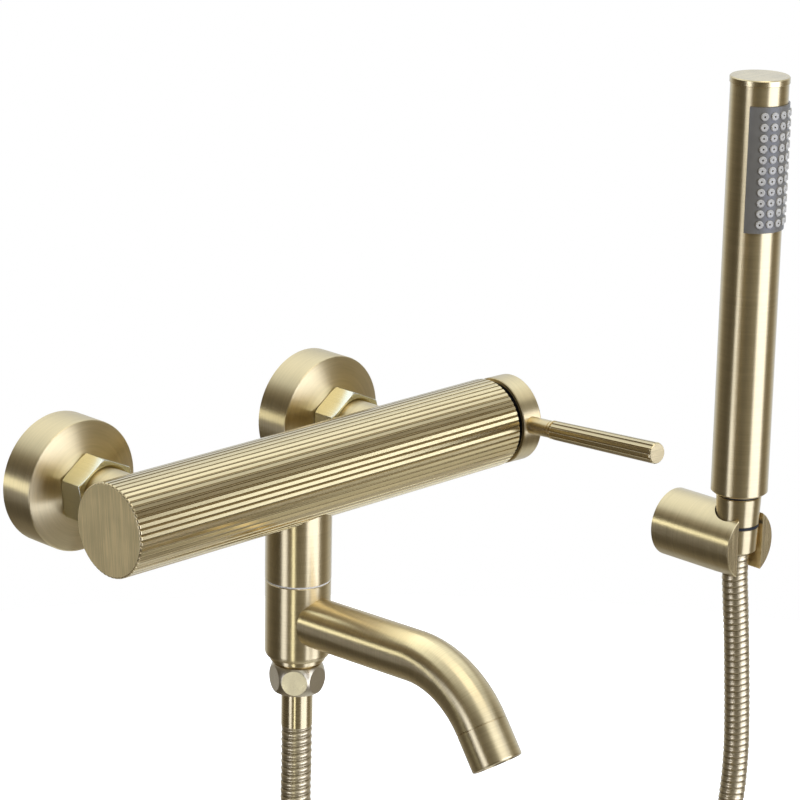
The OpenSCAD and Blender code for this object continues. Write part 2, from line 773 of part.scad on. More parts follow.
module mouth_sleeve() {
    r = spout_d / 2;
    color("goldenrod") spout_end() translate([0, 0, seat]) difference() {
        rotate_extrude() polygon([
            [0, 0], [r - 0.25, 0], [r - 0.25, 0.2], [r, 0.35], [r, mouth_len - 0.9],
            [r - 0.25, mouth_len - 0.25], [r - 0.9, mouth_len], [0, mouth_len]
        ]);
        translate([0, 0, -1]) cylinder(r = r - spout_wall, h = 3);
        translate([0, 0, 2]) cylinder(r = r - spout_wall + 0.3, h = mouth_len);
    }
}

module aerator_insert() {
    r = spout_d / 2 - spout_wall + 0.3 - fit;
    low = mouth_len - 1.4;
    color("lightgray") spout_end() difference() {
        translate([0, 0, low - 9]) cylinder(r = r, h = 9);
        for (a = [0:60:300], q = [3, 6.2])
            rotate([0, 0, a + (q > 5 ? 30 : 0)]) translate([q, 0, low - 10]) cylinder(d = 2.2, h = 12);
        translate([0, 0, low - 0.6]) cylinder(r = r - 1, h = 2);
    }
}

module aerator_seal() {
    r = spout_d / 2 - spout_wall + 0.3 - fit;
    color("black") spout_end() translate([0, 0, 2.1]) tube(2 * r, 2 * r - 5, mouth_len - 10.4 - 2.1 - seat);
}

module outlet_collar() {
    color("goldenrod") at_column(collar_low) difference() {
        rotate_extrude() polygon([
            [0, 0], [collar_d / 2 - 0.5, 0], [collar_d / 2, 0.5], [collar_d / 2, collar_h], [0, collar_h]
        ]);
        translate([0, 0, -1]) cylinder(r = stem_r + seat, h = collar_h + 2);
    }
}

// a barrel turned from a ball, with six flats that show as round facets
module hose_nut() {
    color("gold") at_column(0) difference() {
        intersection() {
            translate([0, 0, nut_mid]) sphere(d = hose_nut_d, $fn = 96);
            translate([0, 0, hose_nut_low]) cylinder(d = hose_nut_d, h = hose_nut_h);
            translate([0, 0, hose_nut_low]) rotate([0, 0, nut_turn])
                linear_extrude(hose_nut_h) circle(r = hose_nut_af / 2 / cos(30), $fn = 6);
        }
        translate([0, 0, ferrule_lip_low - seat]) cylinder(r = stem_r + seat, h = hose_nut_h);
        translate([0, 0, hose_nut_low - 1]) cylinder(d = ferrule_d + 2 * fit, h = hose_nut_h);
    }
}

module hose_washer_mixer() {
    color("black") at_column(ferrule_lip_top + seat) tube(2 * stem_r - 0.4, hose_bore_d, washer_t);
}

module hose_ferrule_mixer() {
    color("goldenrod") at_column(0) difference() {
        union() {
            translate([0, 0, ferrule_low]) cylinder(d = ferrule_d, h = ferrule_lip_low - ferrule_low + 1);
            translate([0, 0, ferrule_lip_low]) cylinder(r = stem_r - 0.2, h = lip_t);
        }
        translate([0, 0, ferrule_low - 1]) cylinder(d = hose_bore_d, h = 40);
    }
}

module hose_leg_mixer() {
    first = [[column_x, -body_out, ferrule_low - seat]];
    color("tan") ribbed_leg(concat(first, [for (k = [1:len(leg_mixer) - 1]) leg_mixer[k]]));
}

module hose_coil() {
    n = 6;
    side = [0, 1, 0];
    rings = [for (k = [0:coil_count]) let (
        d = k == 0 ? [0, 0, -1] : k == coil_count ? [0, 0, 1] :
            unit(coil_line[k + 1] - coil_line[k - 1])
    ) ring_at(coil_line[k] + (k == 0 ? [0, 0, -seat] : k == coil_count ? [0, 0, -seat] : [0, 0, 0]),
        d, hose_d / 2, n, side)];
    m = len(rings);
    faces = concat(
        [for (i = [0:m - 2], k = [0:n - 1], t = [0, 1]) let (
            a = i * n + k, b = i * n + (k + 1) % n, c = a + n, d = b + n
        ) t == 0 ? [a, b, d] : [a, d, c]],
        [for (k = [1:n - 2]) [0, k + 1, k]],
        [for (k = [1:n - 2]) [(m - 1) * n, (m - 1) * n + k, (m - 1) * n + k + 1]]
    );
    color("tan") polyhedron([for (r = rings, p = r) p], faces);
}

module hose_leg_handset() {
    first = [[holder_x, -seat_out, cone_low - 0.3]];
    color("tan") ribbed_leg(concat(first, [for (k = [1:len(leg_handset) - 1]) leg_handset[k]]));
}

module hose_ferrule_handset() {
    color("peru") at_hand(0) difference() {
        union() {
            translate([0, 0, cone_low - 0.28]) cylinder(d = ferrule_d, h = hose_end_top - cone_low);
            translate([0, 0, hose_end_top - hose_end_lip]) cylinder(d = 18, h = hose_end_lip);
        }
        translate([0, 0, cone_low - 1]) cylinder(d = hose_bore_d, h = 40);
    }
}

module hose_washer_handset() {
    color("black") at_hand(hand_washer_low) tube(18, hose_bore_d, washer_t);
}

function cone_r(z) = cone_low_d / 2 + cone_rate * (z - cone_low);

module cone_nut() {
    color("goldenrod") at_hand(0) difference() {
        rotate_extrude() polygon([
            [0, cone_low], [cone_low_d / 2 - 0.5, cone_low], [cone_low_d / 2, cone_low + 0.5],
            [cone_d / 2, cone_top - 0.4], [cone_d / 2 - 0.4, cone_top], [0, cone_top]
        ]);
        translate([0, 0, hose_end_top - hose_end_lip - 0.1]) cylinder(r = thread_r + seat, h = 40);
        translate([0, 0, cone_low - 1]) cylinder(d = ferrule_d + 2 * fit, h = 40);
        translate([0, 0, ring_groove_z - ring_groove_h / 2]) difference() {
            cylinder(d = cone_d + 2, h = ring_groove_h);
            translate([0, 0, -1]) cylinder(r = cone_r(ring_groove_z) - 0.78, h = ring_groove_h + 2);
        }
    }
}

module cone_o_ring() {
    color("black") at_hand(ring_groove_z) rotate_extrude() translate([cone_r(ring_groove_z) - 0.05, 0]) difference() {
        circle(r = 0.65);
        translate([0.15, -2]) square([2, 4]);
    }
}

module neck_ring() {
    color("black") at_hand(cone_top + 0.1) tube(cone_d - 1.6, 2 * thread_r + 2 * seat, hand_low - cone_top - 0.2);
}

module handset_connector() {
    color("peru") at_hand(0) difference() {
        union() {
            translate([0, 0, connector_low]) cylinder(r = thread_r, h = hand_low + 3 - connector_low);
            translate([0, 0, hand_low + 2.6])
                cylinder(r = hand_d / 2 - hand_wall - fit, h = connector_rise - 2.6);
        }
        translate([0, 0, connector_low - 1]) cylinder(d = 10, h = 60);
    }
}

module handset_tube() {
    r = hand_d / 2;
    h = hand_top - hand_low;
    color("goldenrod") at_hand(0) difference() {
        translate([0, 0, hand_low]) rotate_extrude() polygon([
            [0, 0], [r - 1.3, 0], [r, 1.1], [r, h], [0, h]
        ]);
        translate([0, 0, hand_low + 2.5]) cylinder(r = r - hand_wall, h = h);
        translate([0, 0, hand_low - 1]) cylinder(r = thread_r + seat, h = 5);
        window(r + 2, plate_h + 0.3, plate_angle + 0.6);
    }
}

// a wedge that opens towards the room, as high as the plate
module window(r, h, angle) {
    translate([0, 0, plate_z - h / 2]) rotate([0, 0, -90 - angle / 2])
        rotate_extrude(angle = angle) square([r, h]);
}

module handset_top_cap() {
    r = top_cap_d / 2;
    plug = hand_d / 2 - hand_wall - fit;
    color("gold") at_hand(hand_top + seat) rotate_extrude() polygon([
        [0, -plug_h], [plug, -plug_h], [plug, 0], [r - 0.2, 0], [r, 0.2], [r, top_cap_h - 0.5],
        [r - 0.5, top_cap_h], [0, top_cap_h]
    ]);
}

// the chamber behind the plate is open towards it
module spray_chamber() {
    r = hand_d / 2 - hand_wall - fit;
    h = plate_h + 2 * chamber_rim;
    color("ivory") at_hand(0) difference() {
        translate([0, 0, plate_z - h / 2]) cylinder(r = r, h = h);
        window(r + 3, plate_h + 0.4, plate_angle + 1);
        translate([0, 0, plate_z - h / 2 - 1]) cylinder(d = 8, h = 8);
    }
}

module water_tube() {
    low = hand_low + connector_rise + seat;
    color("ivory") at_hand(low)
        tube(water_tube_d, water_tube_bore, plate_z - plate_h / 2 - chamber_rim - seat - low);
}

module nozzle_plate() {
    outer = hand_d / 2 + plate_proud;
    inner = hand_d / 2 - hand_wall;
    color("dimgray") at_hand(0) difference() {
        window(outer, plate_h, plate_angle);
        translate([0, 0, plate_z - plate_h]) cylinder(r = inner, h = 2 * plate_h);
        at_nozzles() translate([0, 0, inner - 2]) cylinder(r = nozzle_d / 2 - 0.45, h = 6);
    }
}

// local Z runs out through each nozzle
module at_nozzles() {
    for (i = [0:rows - 1], j = [0:columns - 1])
        translate([0, 0, plate_z + (i - (rows - 1) / 2) * row_pitch])
            rotate([0, 0, (j - (columns - 1) / 2) * column_angle]) rotate([90, 0, 0]) children();
}

// one soft mat behind the plate, with a tip through each hole
module nozzle_mat() {
    outer = hand_d / 2 + plate_proud;
    inner = hand_d / 2 - hand_wall - seat;
    r = nozzle_d / 2;
    color("lightgray") at_hand(0) difference() {
        union() {
            difference() {
                window(inner, plate_h, plate_angle);
                translate([0, 0, plate_z - plate_h]) cylinder(r = inner - mat_t, h = 2 * plate_h);
            }
            at_nozzles() translate([0, 0, inner - mat_t / 2]) rotate_extrude($fn = 24) polygon([
                [0, 0], [r - 0.5, 0], [r - 0.5, outer - inner + mat_t / 2 + 0.03],
                [r, outer - inner + mat_t / 2 + 0.03], [r, outer - inner + mat_t / 2 + 0.5],
                [r - 0.4, outer - inner + mat_t / 2 + 0.8], [0, outer - inner + mat_t / 2 + 0.8]
            ]);
        }
        at_nozzles() translate([0, 0, inner - 2]) cylinder(r = 0.5, h = 8, $fn = 16);
    }
}

module holder_body() {
    r = holder_d / 2;
    top = -holder_z + r + 2;
    color("goldenrod") difference() {
        from_wall(holder_x, 0, -holder_z) rotate_extrude() polygon([
            [0, 0], [r, 0], [r, holder_out - 0.4], [r - 0.4, holder_out], [0, holder_out]
        ]);
        at_hand(cone_low - 0.25) cylinder(r1 = cone_r(cone_low) + 0.25, r2 = cone_r(top) + 0.25,
            h = top - cone_low + 0.25);
        at_hand(-holder_z + r - 9) cylinder(r1 = cone_r(-108) + 0.4, r2 = cone_r(-100) + 1.1, h = 12);
        at_hand(-holder_z - r - 2) cylinder(d = slot_w, h = 2 * r);
        translate([holder_x - slot_w / 2, -holder_out - 5, -holder_z - r - 2])
            cube([slot_w, holder_out + 5 - seat_out, 2 * r + 4]);
        from_wall(holder_x, -1, -holder_z) cylinder(r = r - 3, h = plate_recess + 1);
        translate([holder_x, -plate_recess / 2 + 0.5, -holder_z - r - 1]) cylinder(r = 2, h = 8);
    }
}

module holder_wall_plate() {
    color("silver") difference() {
        from_wall(holder_x, 0, -holder_z) cylinder(r = holder_d / 2 - 3 - fit, h = plate_recess - 1.5);
        for (s = [-1, 1])
            from_wall(holder_x + s * screw_pitch / 2, -1, -holder_z) cylinder(d = screw_d + 0.4, h = 20);
        for (s = [-1, 1])
            from_wall(holder_x + s * screw_pitch / 2, plate_recess - 1.5 - 2.2, -holder_z)
                cylinder(d1 = screw_d + 0.4, d2 = 2 * screw_d + 0.5, h = 2.21);
        translate([holder_x, -plate_recess / 2 + 0.5, -holder_z - holder_d / 2]) cylinder(r = 2 + fit, h = 5);
    }
}

module holder_grub_screw() {
    low = -holder_z - holder_d / 2 + 0.6;
    color("dimgray") translate([holder_x, -plate_recess / 2 + 0.5, 0]) difference() {
        translate([0, 0, low]) cylinder(r = 2 - seat, h = 4.2);
        translate([0, 0, low - 1]) cylinder(d = 2.2, h = 3, $fn = 6);
    }
}

wall_union(-inlet_pitch / 2);  // wall_union_left
wall_union(inlet_pitch / 2);  // wall_union_right
flange(-inlet_pitch / 2);  // flange_left
flange(inlet_pitch / 2);  // flange_right
union_washer(-inlet_pitch / 2);  // union_washer_left
union_washer(inlet_pitch / 2);  // union_washer_right
union_nut(-inlet_pitch / 2);  // union_nut_left
union_nut(inlet_pitch / 2);  // union_nut_right
inlet_tail(-inlet_pitch / 2);  // inlet_tail_left
inlet_tail(inlet_pitch / 2);  // inlet_tail_right
body_shell();
waterway_core();
cartridge_seals();
cartridge_body();
fixed_disc();
moving_disc();
cartridge_ring_nut();
mouth_ring();
cartridge_carrier();
spindle_pin();
handle_spindle();
cap_insert();
handle_cap();
handle_grub_screw();
lever_neck();
lever_grip();
outlet_sleeve();
outlet_stem();
stem_o_rings();
seam_ring();
spout_hub();
diverter_sleeve();
spout_tube();
mouth_sleeve();
aerator_insert();
aerator_seal();
outlet_collar();
hose_nut();
hose_washer_mixer();
hose_ferrule_mixer();
hose_leg_mixer();
hose_coil();
hose_leg_handset();
hose_ferrule_handset();
hose_washer_handset();
cone_nut();
cone_o_ring();
neck_ring();
handset_connector();
handset_tube();
handset_top_cap();
spray_chamber();
water_tube();
nozzle_plate();
nozzle_mat();
holder_body();
holder_wall_plate();
holder_grub_screw();
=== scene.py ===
# A wall bath mixer with spout, lever, hand shower, hose and wall holder, in satin brushed brass.
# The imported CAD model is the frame: metres, X right, Y into the wall, Z up, origin on the wall.
import math

import bmesh
import bpy
from mathutils import Matrix, Vector


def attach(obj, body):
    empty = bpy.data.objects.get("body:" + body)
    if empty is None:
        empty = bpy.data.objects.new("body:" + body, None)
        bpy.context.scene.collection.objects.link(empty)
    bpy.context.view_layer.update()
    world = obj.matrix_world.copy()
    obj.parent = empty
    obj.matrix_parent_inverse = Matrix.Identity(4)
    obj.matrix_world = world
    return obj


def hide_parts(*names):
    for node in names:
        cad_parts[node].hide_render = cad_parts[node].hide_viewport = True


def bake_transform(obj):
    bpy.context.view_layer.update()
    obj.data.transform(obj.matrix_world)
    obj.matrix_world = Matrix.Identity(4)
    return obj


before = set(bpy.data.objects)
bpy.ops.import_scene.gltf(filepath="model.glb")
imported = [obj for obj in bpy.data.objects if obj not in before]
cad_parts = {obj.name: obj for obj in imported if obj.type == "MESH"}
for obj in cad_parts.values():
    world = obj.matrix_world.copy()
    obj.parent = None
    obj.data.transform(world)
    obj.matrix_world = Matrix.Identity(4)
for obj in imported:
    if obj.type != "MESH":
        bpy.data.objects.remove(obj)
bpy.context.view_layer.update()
MM = 0.001


# The photograph's view: a long lens a metre and a half away, from the front left and a little
# above, rolled by one degree.
VIEW_DISTANCE = 1.502524
view_azimuth, view_elevation, view_roll = (math.radians(a) for a in (-45.08, 17.018, 1.087))
view_target = Vector((0.077997, -0.060, 0.017865))
across = Vector((math.cos(view_azimuth), math.sin(view_azimuth), 0))
towards = Vector((math.sin(view_azimuth) * math.cos(view_elevation),
                  -math.cos(view_azimuth) * math.cos(view_elevation), math.sin(view_elevation)))
upwards = towards.cross(across)
across, upwards = (math.cos(view_roll) * across + math.sin(view_roll) * upwards,
                   math.cos(view_roll) * upwards - math.sin(view_roll) * across)
camera = bpy.data.objects.new("camera", bpy.data.cameras.new("camera"))
camera.data.sensor_width = 36
camera.data.lens = 147.78
camera.matrix_world = (Matrix.Translation(view_target + VIEW_DISTANCE * towards)
                       @ Matrix((across, upwards, towards)).transposed().to_4x4())
bpy.context.collection.objects.link(camera)
bpy.context.scene.camera = camera


# The shower hose: a steel strip wound into a spiral tube of 14 mm and plated as brushed brass.
# It hangs from the mixer, turns one and a half times below the view and rises to the cone nut.
# The route's points are those of the part's source, in mm.
HOSE_R = 7.0 * MM
HOSE_SIDES = 24
RIB_PITCH = 3.5 * MM
# How far the strip dips below its crest at each twelfth of a rib, in mm: a wide round lobe, a
# shallow groove, the strip's narrow lip, and the deep groove before the next turn.
RIB_DIPS = [0.66, 0.34, 0.12, 0.03, 0.0, 0.02, 0.08, 0.19, 0.32, 0.22, 0.20, 0.38]
RINGS_A_RIB = len(RIB_DIPS)
# The body, the column and the hose's loop share one plane, parallel to the wall.
AXIS_Y = -71.2
coil_centre, coil_r, coil_climb, coil_turns, coil_steps = (230, AXIS_Y, -403), 84, 15, 1.5, 360
mixer_route = [
    (4.6, -71.2, -117.52), (4.6, -71.2, -135), (4.6, -71.2, -158), (8, -71.2, -180.5),
    (18, -71.2, -203), (33.5, -71.2, -225.5), (53.5, -71.2, -248), (75.5, -71.2, -270.5),
    (97, -71.2, -293), (117, -71.2, -315.5), (132.5, -71.2, -338), (142.5, -71.2, -360.5),
    (145.6, -71.2, -376), (146, -71.2, -388), (146, -71.2, -403)]
handset_route = [
    (348.3, -43.7, -123.3), (348.3, -43.7, -137), (349.2, -44.6, -155), (350.2, -45.6, -175),
    (351, -46.4, -195), (351.7, -47.1, -215), (351.8, -47.8, -238), (349.5, -48.3, -262),
    (343.6, -48.6, -286), (335.5, -48.7, -309), (327.5, -48.7, -331), (320.6, -48.7, -352),
    (315.8, -48.7, -373), (314.1, -48.7, -388), (314, -48.7, -403)]


def smooth_route(points, steps=24):
    """A smooth line through a route's points."""
    p = [Vector(q) * MM for q in points]
    p = [2 * p[0] - p[1]] + p + [2 * p[-1] - p[-2]]
    line = []
    for a, b, c, d in zip(p, p[1:], p[2:], p[3:]):
        for k in range(steps):
            t = k / steps
            line.append(0.5 * (2 * b + (c - a) * t + (2 * a - 5 * b + 4 * c - d) * t * t
                               + (3 * b - 3 * c + d - a) * t ** 3))
    return line + [p[-2]]


def evenly(line, step):
    """Points a fixed step apart along a line, from its first point to its last."""
    lengths = [0.0]
    for a, b in zip(line, line[1:]):
        lengths.append(lengths[-1] + (b - a).length)
    count = round(lengths[-1] / step)
    out, i = [], 0
    for k in range(count + 1):
        s = lengths[-1] * k / count
        while i < len(line) - 2 and lengths[i + 1] < s:
            i += 1
        out.append(line[i].lerp(line[i + 1], (s - lengths[i]) / (lengths[i + 1] - lengths[i])))
    return out


def to_object(name, bm):
    """The finished mesh becomes an object at the origin, smooth between its sharp edges."""
    mesh = bpy.data.meshes.new(name)
    bm.to_mesh(mesh)
    bm.free()
    made = bpy.data.objects.new(name, mesh)
    bpy.context.collection.objects.link(made)
    mesh.shade_smooth()
    return made


def ribbed_hose(name, line, first_ring):
    """A spiral tube along a line. The rib's phase runs on from one piece of the hose to the next,
    and the attribute groove says how deep in a groove each point lies."""
    bm = bmesh.new()
    depth = bm.verts.layers.float.new("groove")
    side = Vector((0, 1, 0))
    rings = []
    for k, p in enumerate(line):
        ahead = (line[min(k + 1, len(line) - 1)] - line[max(k - 1, 0)]).normalized()
        side = (side - side.dot(ahead) * ahead).normalized()
        other = ahead.cross(side)
        ring = []
        for j in range(HOSE_SIDES):
            a = 2 * math.pi * j / HOSE_SIDES
            u = ((first_ring + k) - RINGS_A_RIB * j / HOSE_SIDES) % RINGS_A_RIB
            i = int(u)
            dip = RIB_DIPS[i] + (RIB_DIPS[(i + 1) % RINGS_A_RIB] - RIB_DIPS[i]) * (u - i)
            v = bm.verts.new(p + (HOSE_R - dip * MM) * (math.cos(a) * side + math.sin(a) * other))
            v[depth] = dip / max(RIB_DIPS)
            ring.append(v)
        rings.append(ring)
    for a, b in zip(rings, rings[1:]):
        for j in range(HOSE_SIDES):
            bm.faces.new((a[j], a[j - 1], b[j - 1], b[j]))
    bm.faces.new(rings[0])
    bm.faces.new(rings[-1][::-1])
    bmesh.ops.recalc_face_normals(bm, faces=bm.faces)
    return to_object(name, bm)


coil_line = []
for k in range(coil_steps + 1):
    turn = coil_turns * k / coil_steps
    a = math.pi + 2 * math.pi * turn
    coil_line.append(Vector((coil_centre[0] + coil_r * math.cos(a), coil_centre[1] + coil_climb * turn,
                             coil_centre[2] + coil_r * math.sin(a))) * MM)
lower_line = evenly(smooth_route(mixer_route)[:-1] + coil_line, RIB_PITCH / RINGS_A_RIB)
upper_line = evenly(smooth_route(handset_route[::-1]), RIB_PITCH / RINGS_A_RIB)
hose_lower = ribbed_hose("hose_from_mixer", lower_line, 0)
hose_upper = ribbed_hose("hose_to_handset", upper_line, len(lower_line) - 1)
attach(hose_lower, "mixer")
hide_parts("hose_leg_mixer", "hose_coil")
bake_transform(hose_upper)
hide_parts("hose_leg_handset")


def colour(code, factor=1):
    """An sRGB hex colour as the linear values that a shader takes, made lighter by a factor."""
    parts = [int(code[i:i + 2], 16) / 255 for i in (1, 3, 5)]
    parts = [c / 12.92 if c <= 0.04045 else ((c + 0.055) / 1.055) ** 2.4 for c in parts]
    return [min(1, factor * c) for c in parts] + [1]


def add(tree, kind, inputs=(), **settings):
    """A node with its settings; inputs maps its sockets to a value, a node or a node's output.
    The scale of a noise is given in marks to a metre."""
    made = tree.nodes.new("ShaderNode" + kind)
    for key, value in settings.items():
        setattr(made, key, value)
    for socket, value in dict(inputs).items():
        if isinstance(value, bpy.types.Node):
            value = value.outputs[0]
        if isinstance(value, bpy.types.NodeSocket):
            tree.links.new(value, made.inputs[socket])
        else:
            made.inputs[socket].default_value = value
    return made


def new_material(name):
    made = bpy.data.materials.new(name)
    made.use_nodes = True
    made.node_tree.nodes.clear()
    return made, made.node_tree


def dress(piece, material):
    """A CAD node has all its slots filled with the material, and a new piece takes it as its own."""
    if piece.material_slots:
        for place in piece.material_slots:
            place.material = material
    else:
        piece.data.materials.append(material)


def hose_brass():
    """Plated steel strip: glossy, and darker down in the grooves by painted shade."""
    made, tree = new_material("plated_steel_strip")
    spot = add(tree, "TexCoord").outputs["Object"]
    groove = add(tree, "Attribute", attribute_name="groove").outputs["Fac"]
    cloud = add(tree, "TexNoise", {"Vector": spot, "Scale": 260, "Detail": 3})
    # Painted shade: the tone falls from pale brass on the crests to dark brown deep in the grooves, standing
    # in for the shadow inside them.
    tone = add(tree, "ValToRGB", {"Fac": groove})
    for stop, (at, code) in zip(tone.color_ramp.elements, ((0.25, "#D8C59B"), (0.95, "#7A6845"))):
        stop.position = at
        stop.color = colour(code)
    rough = add(tree, "MapRange", {"Value": cloud, "From Min": 0.3, "From Max": 0.7,
                                   "To Min": 0.31, "To Max": 0.38})
    metal = add(tree, "BsdfPrincipled", {"Base Color": tone, "Metallic": 1.0, "Roughness": rough})
    add(tree, "OutputMaterial", {"Surface": metal})
    return made


hose_finish = hose_brass()
dress(hose_lower, hose_finish)
dress(hose_upper, hose_finish)


# The two wall covers: spun brass cups of 59 mm with a straight rim and a gently domed front. Both
# are polished with an abrasive belt while they turn, so fine lines run round them.
INLETS = (("left", -75), ("right", 75))
COVER_R, COVER_RIM, COVER_WALL = 29.6, 17.7, 1.6
COVER_HOLE_R, COVER_EDGE_R = 13.25, 0.55
DOME_R, DOME_STEPS = 86, 12
BRASS = "#D8C392"
# A brushed mark breaks off along itself this many times to a metre.
MARKS_BREAK = 38
MICRON = 0.000001
# Points closer than this are one.
TOUCHING = 2 * MICRON


def from_wall(x, out, z=0):
    """A place out from the wall, in mm, whose local Z points away from the wall."""
    return Matrix.Translation(Vector((x, -out, z)) * MM) @ Matrix.Rotation(math.radians(90), 4, "X")


def turned(profile, rounded=(), steps=128):
    """A shape turned about Z from (radius, height) corners in mm; rounded holds (corner, mm)."""
    bm = bmesh.new()
    corners = [bm.verts.new((r * MM, 0, z * MM)) for r, z in profile]
    for a, b in zip(corners, corners[1:]):
        bm.edges.new((a, b))
    if profile[0][0] > 0 or profile[-1][0] > 0:
        bm.edges.new((corners[-1], corners[0]))
    for corner, size in rounded:
        bmesh.ops.bevel(bm, geom=[corners[corner]], offset=size * MM, segments=4, profile=0.5,
                        affect="VERTICES", material=-1)
    bmesh.ops.spin(bm, geom=bm.verts[:] + bm.edges[:], cent=(0, 0, 0), axis=(0, 0, 1),
                   angle=2 * math.pi, steps=steps, use_merge=True)
    return bm


def make(name, bm, place, body, nodes, material, even=False):
    """Puts a brass piece's mesh in its place, merges doubles, turns its faces outwards, gives it its
    body and its finish, and hides the nodes it stands for. even keeps large flat faces flat to the
    light beside their rounded edges."""
    bmesh.ops.transform(bm, matrix=place, verts=bm.verts)
    bmesh.ops.remove_doubles(bm, verts=bm.verts, dist=TOUCHING)
    bmesh.ops.recalc_face_normals(bm, faces=bm.faces)
    piece = to_object(name, bm)
    piece.data.set_sharp_from_angle(angle=math.radians(36))
    dress(piece, material)
    if even:
        piece.modifiers.new("normals", "WEIGHTED_NORMAL").keep_sharp = True
    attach(piece, body)
    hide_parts(*nodes)


def brushed_brass(name, place, flat=None, lengthwise=False, tone=BRASS, line=0.9, dull=0.30,
                  spread=0.88, depth=3, face_dull=0.0, face_marks=0.0, groove_shade=None):
    """Brass brushed round the local Z of place, or lengthwise, and along flat on its end faces.
    line is the spacing of the marks in mm, drawn about five times as coarse as a fine belt leaves
    them, so that they show, and depth is theirs in microns. The marks stretch each highlight
    across themselves by spread. face_dull and face_marks make the end faces duller and more
    deeply marked. The tone given for the grooves is painted shade: the attribute groove lays it
    into the flutes' hollows, browner and darker than the ridges, standing in for the shadow down
    in the narrow hollows, and makes them rougher."""
    made, tree = new_material(name)
    fine = 1 / (line * MM)
    axis = place.to_3x3() @ Vector((0, 0, 1))
    away = place.inverted()
    at = add(tree, "TexCoord")
    local = add(tree, "Mapping", {"Vector": at.outputs["Object"], "Location": away.translation,
                                  "Rotation": away.to_euler()})
    if lengthwise:
        marks = add(tree, "VectorMath", {0: local, 1: (fine, fine, MARKS_BREAK)}, operation="MULTIPLY")
        along = add(tree, "CombineXYZ", {"X": axis.x, "Y": axis.y, "Z": axis.z})
    else:
        sideways = add(tree, "VectorMath", {0: local, 1: (1, 1, 0)}, operation="MULTIPLY")
        radius = add(tree, "VectorMath", {0: sideways}, operation="LENGTH").outputs["Value"]
        height = add(tree, "SeparateXYZ", {0: local}).outputs["Z"]
        run = add(tree, "Math", {0: radius, 1: height}, operation="ADD")
        run = add(tree, "Math", {0: run, 1: fine}, operation="MULTIPLY")
        marks = add(tree, "VectorMath", {0: sideways, 1: (MARKS_BREAK, MARKS_BREAK, 0),
                                         2: add(tree, "CombineXYZ", {"Z": run})}, operation="MULTIPLY_ADD")
        outwards = add(tree, "VectorMath", {0: at.outputs["Object"], 1: place.translation},
                       operation="SUBTRACT")
        along = add(tree, "VectorMath", {0: axis, 1: outwards}, operation="CROSS_PRODUCT")
    if flat is not None:
        # one on the end faces, whose normal lies along the axis, and nothing elsewhere
        on_face = add(tree, "VectorMath", {0: at.outputs["Normal"], 1: axis}, operation="DOT_PRODUCT")
        on_face = add(tree, "Math", {0: on_face.outputs["Value"]}, operation="ABSOLUTE")
        on_face = add(tree, "Math", {0: on_face, 1: 0.97}, operation="GREATER_THAN")
        lay = Vector(flat).rotation_difference(Vector((1, 0, 0))).to_euler()
        straight = add(tree, "Mapping", {"Vector": at.outputs["Object"], "Rotation": lay})
        straight = add(tree, "VectorMath", {0: straight, 1: (MARKS_BREAK, fine, fine)},
                       operation="MULTIPLY")
        marks = add(tree, "Mix", {"Factor": on_face, "A": marks, "B": straight}, data_type="VECTOR")
        marks = marks.outputs[1]
        along = add(tree, "Mix", {"Factor": on_face, "A": along, "B": flat}, data_type="VECTOR")
        along = along.outputs[1]
    tangent = add(tree, "VectorTransform", {0: along}, vector_type="VECTOR",
                  convert_from="OBJECT", convert_to="WORLD")
    streak = add(tree, "TexNoise", {"Vector": marks, "Scale": 1.0, "Detail": 4, "Roughness": 0.7})
    cloud = add(tree, "TexNoise", {"Vector": at.outputs["Object"], "Scale": 55, "Detail": 2})
    worn = add(tree, "MapRange", {"Value": streak, "From Min": 0.32, "From Max": 0.68})
    pale = add(tree, "MixRGB", {"Fac": worn, "Color1": colour(tone, 0.92), "Color2": colour(tone, 1.06)})
    rough = add(tree, "MapRange", {"Value": streak, "From Min": 0.25, "From Max": 0.75,
                                   "To Min": dull - 0.03, "To Max": dull + 0.03})
    cloudy = add(tree, "Math", {0: cloud, 1: 0.04}, operation="MULTIPLY")
    rough = add(tree, "Math", {0: rough, 1: cloudy}, operation="ADD")
    relief = streak
    if flat is not None:
        patches = add(tree, "Math", {0: streak, 1: cloud}, operation="ADD")
        patches = add(tree, "MapRange", {"Value": patches, "From Min": 0.85, "From Max": 1.15,
                                         "To Min": -0.05, "To Max": 0.15})
        patches = add(tree, "Math", {0: on_face, 1: patches, 2: 1.0}, operation="MULTIPLY_ADD")
        pale = add(tree, "VectorMath", {"Vector": pale, "Scale": patches}, operation="SCALE")
        rough = add(tree, "Math", {0: on_face, 1: face_dull, 2: rough}, operation="MULTIPLY_ADD")
        relief = add(tree, "Math", {0: on_face, 1: face_marks, 2: 1.0}, operation="MULTIPLY_ADD")
        relief = add(tree, "Math", {0: relief, 1: streak}, operation="MULTIPLY")
    # Painted shade: the flutes' hollows take the darker groove tone by the attribute groove, standing in for
    # the shadow inside them, and are made rougher.
    if groove_shade:
        hollow = add(tree, "Attribute", attribute_name="groove").outputs["Fac"]
        pale = add(tree, "MixRGB", {"Fac": hollow, "Color1": pale, "Color2": colour(groove_shade)})
        rough = add(tree, "Math", {0: hollow, 1: 0.10, 2: rough}, operation="MULTIPLY_ADD")
    bump = add(tree, "Bump", {"Height": relief, "Strength": 1.0, "Distance": depth * MICRON})
    metal = add(tree, "BsdfPrincipled", {"Base Color": pale, "Metallic": 1.0, "Roughness": rough,
                                         "Anisotropic": spread, "Anisotropic Rotation": 0.25,
                                         "Tangent": tangent, "Normal": bump})
    add(tree, "OutputMaterial", {"Surface": metal})
    return made


def dome(radius, inwards=0.0):
    """Height above the wall of the cover's dome at a radius, or of its inner face."""
    return (COVER_RIM - math.sqrt(DOME_R ** 2 - COVER_R ** 2)
            + math.sqrt((DOME_R - inwards) ** 2 - radius ** 2))


